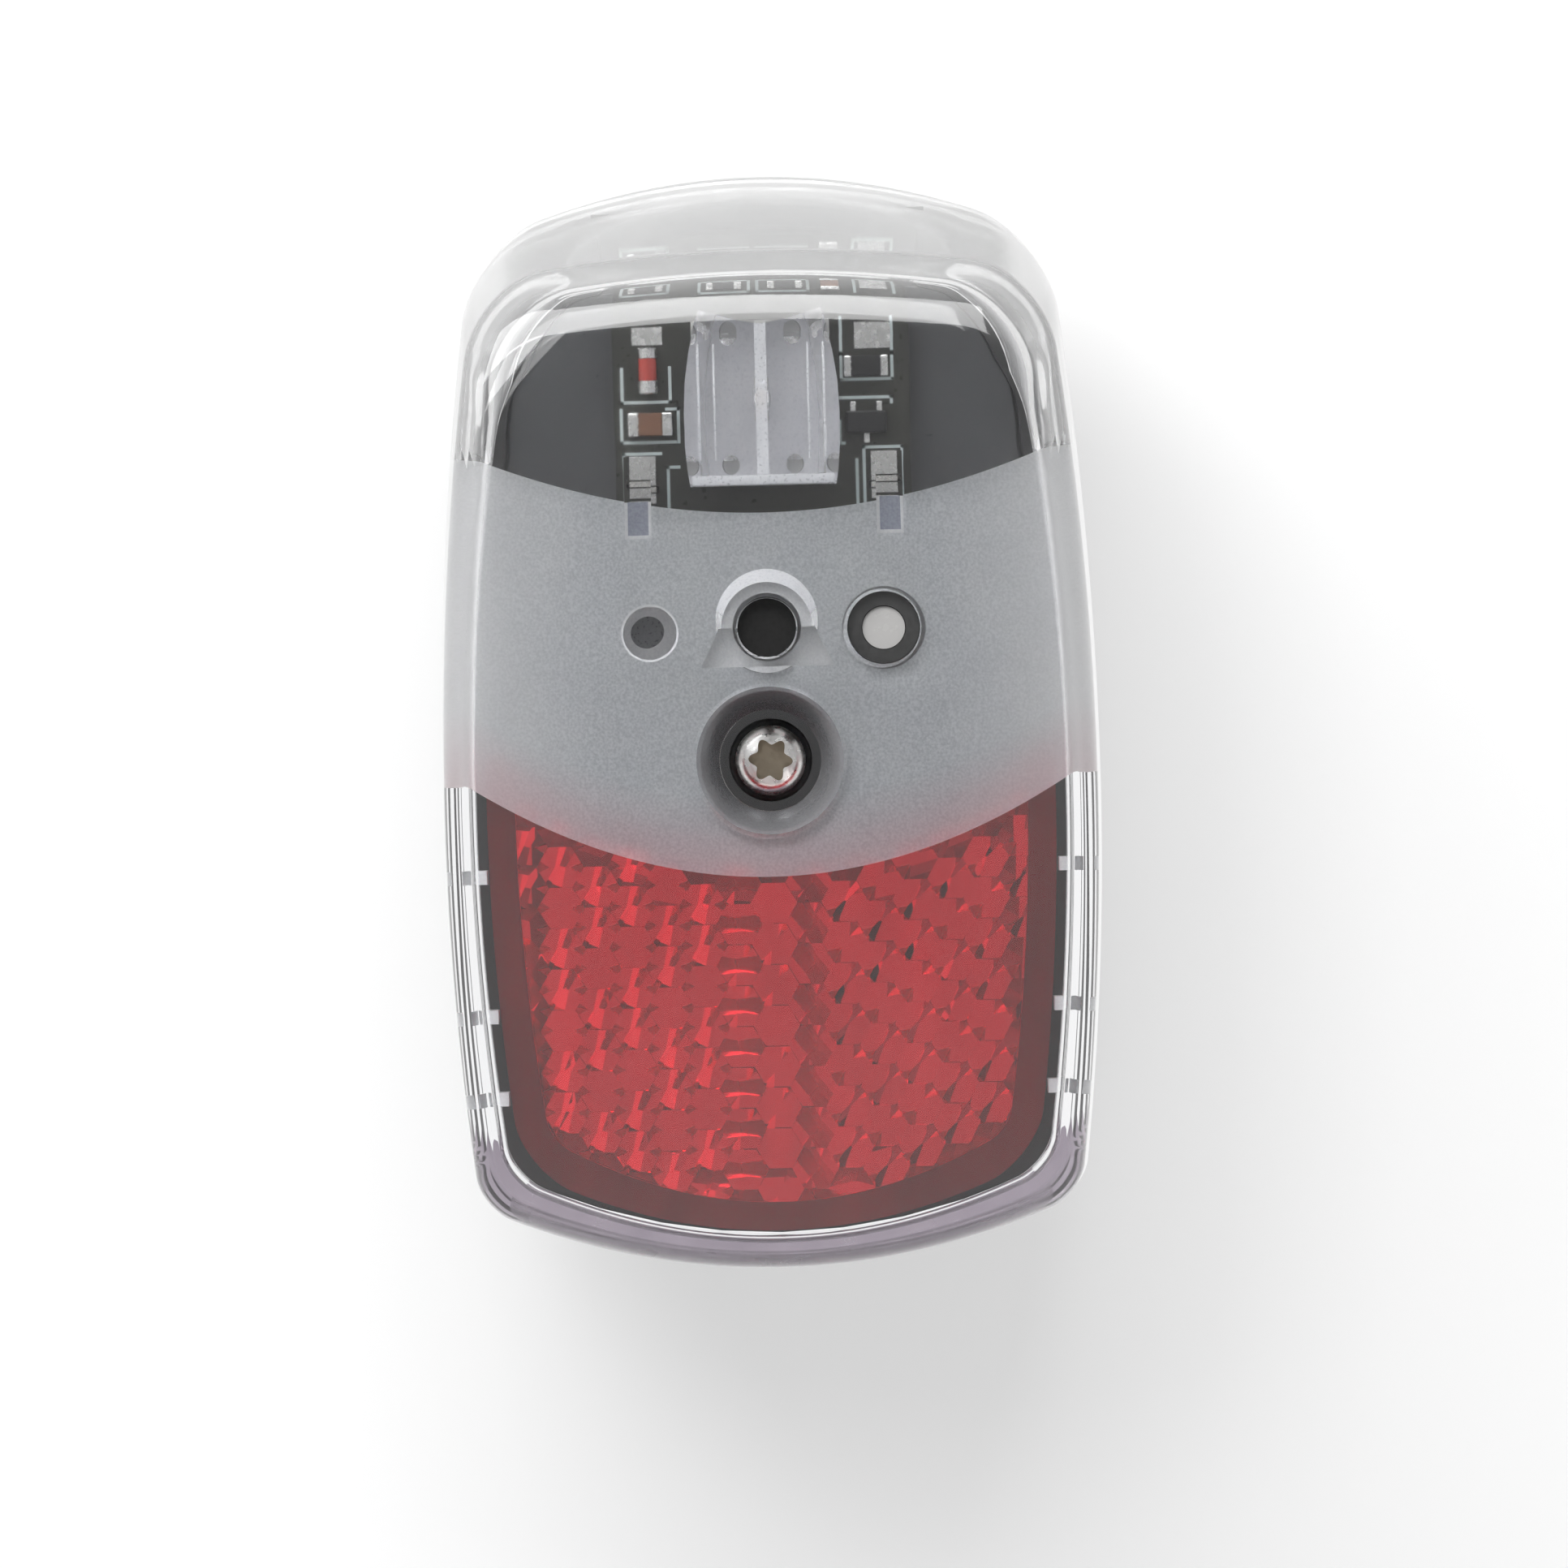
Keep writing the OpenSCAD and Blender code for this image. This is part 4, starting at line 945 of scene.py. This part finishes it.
# Lamp and the clear block in front of it
OPTIC_MATERIALS = [OPTIC, PAINTED_HIGHLIGHT, OPTIC_PAINTED_BACKLIGHT]
PAINTED_HIGHLIGHT_SLOT, PAINTED_BACKLIGHT_SLOT = 1, 2


def make_optic():
    # Half widths of the block at heights above and below the lamp
    half = [(-6.3, 5.25), (-5.2, 5.42), (-3.4, 5.58), (-1.0, 5.6), (1.2, 5.5), (3.4, 5.18), (5.2, 4.76),
            (6.3, 4.42)]

    def saddle(low, high, n=8):
        spans = [-1 + 2 * i / n for i in range(n + 1)]
        return [(s, low + (high - low) * abs(s) ** 1.4) for s in spans]

    side = [(w, LED_Z + z) for z, w in half]
    top = [(-s * half[-1][1], LED_Z + v) for s, v in saddle(5.2, 6.3)][1:-1]
    bottom = [(s * half[0][1], LED_Z + v) for s, v in saddle(-5.6, -6.3)][1:-1]
    outline = bottom + side + top + [(-x, z) for x, z in reversed(side)]
    block = object_of("optic", bevelled(prism(outline, 17.4, 26.5), 0.08, 2, 40), OPTIC_MATERIALS)

    # Seen from above, the front is two slopes with a groove between them, whose floor is painted white as the
    # highlight line down the groove
    plan = [(-7, 16.4), (-7, 24.2), (-4.5, 25.8), (-0.42, 23.5), (0.42, 23.5), (4.5, 25.8), (7, 24.2),
            (7, 16.4)]
    groove_floor = 3
    bm = bmesh.new()
    low, high = [[bm.verts.new(at(x, u, z)) for x, u in plan] for z in (LED_Z - 8, LED_Z + 8)]
    bm.faces.new(low)
    bm.faces.new(high)
    bridge(bm, low, high)[groove_floor].material_index = PAINTED_HIGHLIGHT_SLOT
    combine(block, bm, "INTERSECT")
    hollow = [(0, 16.4), (1.7, 16.4), (1.7, 17.9), (1.35, 18.9), (0.7, 19.5), (0, 19.65)]
    combine(block, turned(hollow, 0, LED_Z), "DIFFERENCE")

    # Thin ribs down the front and a ledge under the block carry painted highlights, as bright lines
    highlight_ribs = bmesh.new()
    for s in (-1, 1):
        for x0, x1, u0, u1 in ((3.3, 3.5, 25.0, 25.22), (4.42, 4.62, 25.6, 25.83)):
            rib = box(*sorted((s * x0, s * x1)), u0, u1, LED_Z - 4.4, LED_Z + 4.0)
            add_to(highlight_ribs, bevelled(rib, 0.05), PAINTED_HIGHLIGHT_SLOT)
    add_to(highlight_ribs, bevelled(box(-5.15, 5.15, 22.2, 25.9, LED_Z - 6.25, LED_Z - 5.5), 0.15, 3), PAINTED_HIGHLIGHT_SLOT)
    combine(block, highlight_ribs, "UNION")
    for s in (-1, 1):
        for v in (-1, 1):
            combine(block, rod(s * 3.6, LED_Z + v * 4.7, BOARD_U, 17.9, 0.7), "UNION")
    # The back faces are made near white as painted light on the block
    for p in block.data.polygons:
        if p.normal.y > 0.9 and p.center.y * -1000 < 17.6:
            p.material_index = PAINTED_BACKLIGHT_SLOT
    smooth(block, 25)
    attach(block, "base")
    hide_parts("led_optic")


def make_lamp_chip():
    bm = bmesh.new()
    add_to(bm, bevelled(box(-1.6, 1.6, BOARD_U, BOARD_U + 0.8, LED_Z - 1.6, LED_Z + 1.6), 0.1, 2), 0)
    r = 1.15
    angles = [math.radians(a) for a in range(-15, 90, 7)]
    dome = [(r * math.cos(a), BOARD_U + r + r * math.sin(a)) for a in angles]
    add_to(bm, turned([(0, dome[0][1])] + dome + [(0, BOARD_U + 2.3)], 0, LED_Z, 48), 1)
    part = object_of("lamp_chip", bm, [CERAMIC, LAMP])
    smooth(part, 40)
    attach(part, "base")
    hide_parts("led")


make_optic()
make_lamp_chip()


# Cover screw: a pan head with a six-lobed recess, and a running thread
def thread():
    """A closed coil that stands out of the shank and fades at both ends."""
    pitch, turns, steps = 1.1, 10.4, 28
    root, buried, crest = 1.1, 1.05, 0.35
    count = int(turns * steps)
    coil = bmesh.new()
    last = None
    for k in range(count + 1):
        a = 2 * math.pi * k / steps
        u = 8.4 + pitch * k / steps
        ease = min(1.0, k / (steps * 1.2), (count - k) / (steps * 0.6))
        r = root + crest * ease
        ring = [
            coil.verts.new(at(rr * math.cos(a), u + du, SCREW_Z + rr * math.sin(a)))
            for du, rr in ((-0.46, buried), (-0.06, r), (0.06, r), (0.46, buried))
        ]
        if last:
            bridge(coil, last, ring)
        if k in (0, count):
            coil.faces.new(ring)
        last = ring
    return coil


def make_screw():
    top = 22.7
    profile = [(0, 6.5), (0.5, 6.55), (1.14, 8.3), (1.14, 20.45), (2.40, 20.5), (2.53, 20.62), (2.53, 21.35)]
    for degrees in range(10, 91, 10):
        a = math.radians(degrees)
        profile.append((2.53 - 0.95 * (1 - math.cos(a)), 21.35 + 1.27 * math.sin(a)))
    profile += [(1.45, 22.66), (1.3, top), (0, top)]
    screw = object_of("screw", turned(profile, 0, SCREW_Z), [STEEL, RECESS])
    star = []
    for k in range(120):
        a = 2 * math.pi * k / 120
        r = 1.36 + 0.24 * math.cos(6 * a + 0.5)
        star.append((r * math.cos(a), SCREW_Z + r * math.sin(a)))
    combine(screw, prism(star, top - 1.4, top + 1, 1), "DIFFERENCE")
    combine(screw, thread(), "UNION")
    smooth(screw, 35)
    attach(screw, "screw")
    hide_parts("cover_screw")


make_screw()


# Camera: straight on, and rolled as the lamp lies in the picture
def make_camera():
    picture_px, px_per_mm, reach = 1932, 16.93, 1.5
    shown = picture_px / px_per_mm / 1000
    data = bpy.data.cameras.new("camera")
    data.sensor_width = 36.0
    data.lens = 36.0 / 2 / (shown / 2 / reach)
    data.clip_start, data.clip_end = 0.05, 20
    cam = link(bpy.data.objects.new("camera", data))
    az, el, roll = math.radians(0.1), math.radians(0.2), math.radians(-1.45)
    back = Vector((math.sin(az) * math.cos(el), -math.cos(az) * math.cos(el), math.sin(el)))
    aim = at(0.90, COVER_REAR, 34.8)
    turn = (-back).to_track_quat("-Z", "Y").to_matrix().to_4x4() @ Matrix.Rotation(roll, 4, "Z")
    cam.matrix_world = Matrix.Translation(aim + back * reach) @ turn
    scene.camera = cam


make_camera()


# Stage and light
def mix_shader(tree, first, second, share):
    node = tree.nodes.new("ShaderNodeMixShader")
    tree.links.new(share, node.inputs[0])
    tree.links.new(first, node.inputs[1])
    tree.links.new(second, node.inputs[2])
    return node.outputs[0]


def stage_material(name, tint, glow):
    """A pale matt surface that keeps the shadow. In gloss and through the clear cover it is plain white,
    and from behind it isn't there."""
    mat = bpy.data.materials.new(name)
    mat.use_nodes = True
    tree = mat.node_tree
    tree.nodes.clear()
    path = tree.nodes.new("ShaderNodeLightPath")
    matt = tree.nodes.new("ShaderNodeBsdfDiffuse")
    shades = [(0.0, (tint, tint, tint)), (1.0, (tint + 0.01, tint + 0.01, tint + 0.01))]
    tree.links.new(ramp_of(tree, noise_of(tree, 8.0, 2.0), shades), matt.inputs["Color"])
    light = tree.nodes.new("ShaderNodeEmission")
    tree.links.new(math_of(tree, "MULTIPLY", path.outputs["Is Camera Ray"], glow), light.inputs["Strength"])
    paper = tree.nodes.new("ShaderNodeAddShader")
    tree.links.new(matt.outputs[0], paper.inputs[0])
    tree.links.new(light.outputs[0], paper.inputs[1])
    white = tree.nodes.new("ShaderNodeEmission")
    white.inputs["Strength"].default_value = 0.95
    mirrored = math_of(tree, "MAXIMUM", path.outputs["Is Glossy Ray"], path.outputs["Is Transmission Ray"])
    seen = mix_shader(tree, paper.outputs[0], white.outputs[0], mirrored)
    geometry = tree.nodes.new("ShaderNodeNewGeometry")
    nothing = tree.nodes.new("ShaderNodeBsdfTransparent")
    surface = mix_shader(tree, seen, nothing.outputs[0], geometry.outputs["Backfacing"])
    out = tree.nodes.new("ShaderNodeOutputMaterial")
    tree.links.new(surface, out.inputs["Surface"])
    return mat


def plane(name, corners, mat):
    bm = bmesh.new()
    bm.faces.new([bm.verts.new(c) for c in corners])
    mesh = bpy.data.meshes.new(name)
    bm.to_mesh(mesh)
    bm.free()
    mesh.materials.append(mat)
    obj = link(bpy.data.objects.new(name, mesh))


PAPER_TINT, PAPER_GLOW = 0.45, 0.52
plane("backdrop", [(-0.5, 0.010, -0.5), (0.5, 0.010, -0.5), (0.5, 0.010, 0.5), (-0.5, 0.010, 0.5)],
      stage_material("backdrop_paper", PAPER_TINT, PAPER_GLOW))
plane("floor", [(-1.5, -0.5, -0.30), (1.5, -0.5, -0.30), (1.5, 1.5, -0.30), (-1.5, 1.5, -0.30)],
      stage_material("floor_paper", PAPER_TINT, PAPER_GLOW))


def lamp(name, place, target, size, watts):
    data = bpy.data.lights.new(name, "AREA")
    data.shape = "RECTANGLE"
    data.size, data.size_y = size
    data.energy = watts
    obj = link(bpy.data.objects.new(name, data))
    obj.location = place
    obj.rotation_mode = "QUATERNION"
    obj.rotation_quaternion = (Vector(target) - Vector(place)).to_track_quat("-Z", "Y")


lamp("key", (-0.30, -0.90, 0.30), (0, -0.02, 0), (0.25, 0.25), 1.6)
lamp("top", (-0.12, -0.40, 0.28), (0, -0.03, 0.015), (0.55, 0.19), 2.9)


def make_world():
    """A white room, darker in gloss round a direction behind the camera, a little above the level."""
    dark_rise = math.radians(14)
    world = bpy.data.worlds.new("studio")
    scene.world = world
    world.use_nodes = True
    tree = world.node_tree
    tree.nodes.clear()
    out = tree.nodes.new("ShaderNodeOutputWorld")
    back = tree.nodes.new("ShaderNodeBackground")
    coords = tree.nodes.new("ShaderNodeTexCoord")
    facing = tree.nodes.new("ShaderNodeVectorMath")
    facing.operation = "DOT_PRODUCT"
    facing.inputs[1].default_value = (0, -math.cos(dark_rise), math.sin(dark_rise))
    tree.links.new(coords.outputs["Generated"], facing.inputs[0])
    away = range_of(tree, facing.outputs["Value"], 0.0, 1.0, 1.0, 0.80)
    tone = ramp_of(tree, away, [
        (0.0, (0.40, 0.40, 0.405)), (0.1, (0.50, 0.50, 0.505)),
        (0.35, (0.78, 0.78, 0.78)), (0.8, (1.0, 1.0, 1.0)),
    ])
    path = tree.nodes.new("ShaderNodeLightPath")
    tree.links.new(mix_of(tree, tone, (1, 1, 1, 1), path.outputs["Is Camera Ray"]), back.inputs["Color"])
    mirrored = math_of(tree, "MAXIMUM", path.outputs["Is Glossy Ray"], path.outputs["Is Transmission Ray"])
    seen = math_of(tree, "MAXIMUM", path.outputs["Is Camera Ray"], mirrored)
    tree.links.new(range_of(tree, seen, 0.42, 1.0, 0.0, 1.0), back.inputs["Strength"])
    tree.links.new(back.outputs[0], out.inputs["Surface"])


make_world()

scene.view_settings.view_transform = "Standard"
scene.cycles.max_bounces = 24
scene.cycles.transmission_bounces = 24
scene.cycles.glossy_bounces = 16
scene.cycles.transparent_max_bounces = 16
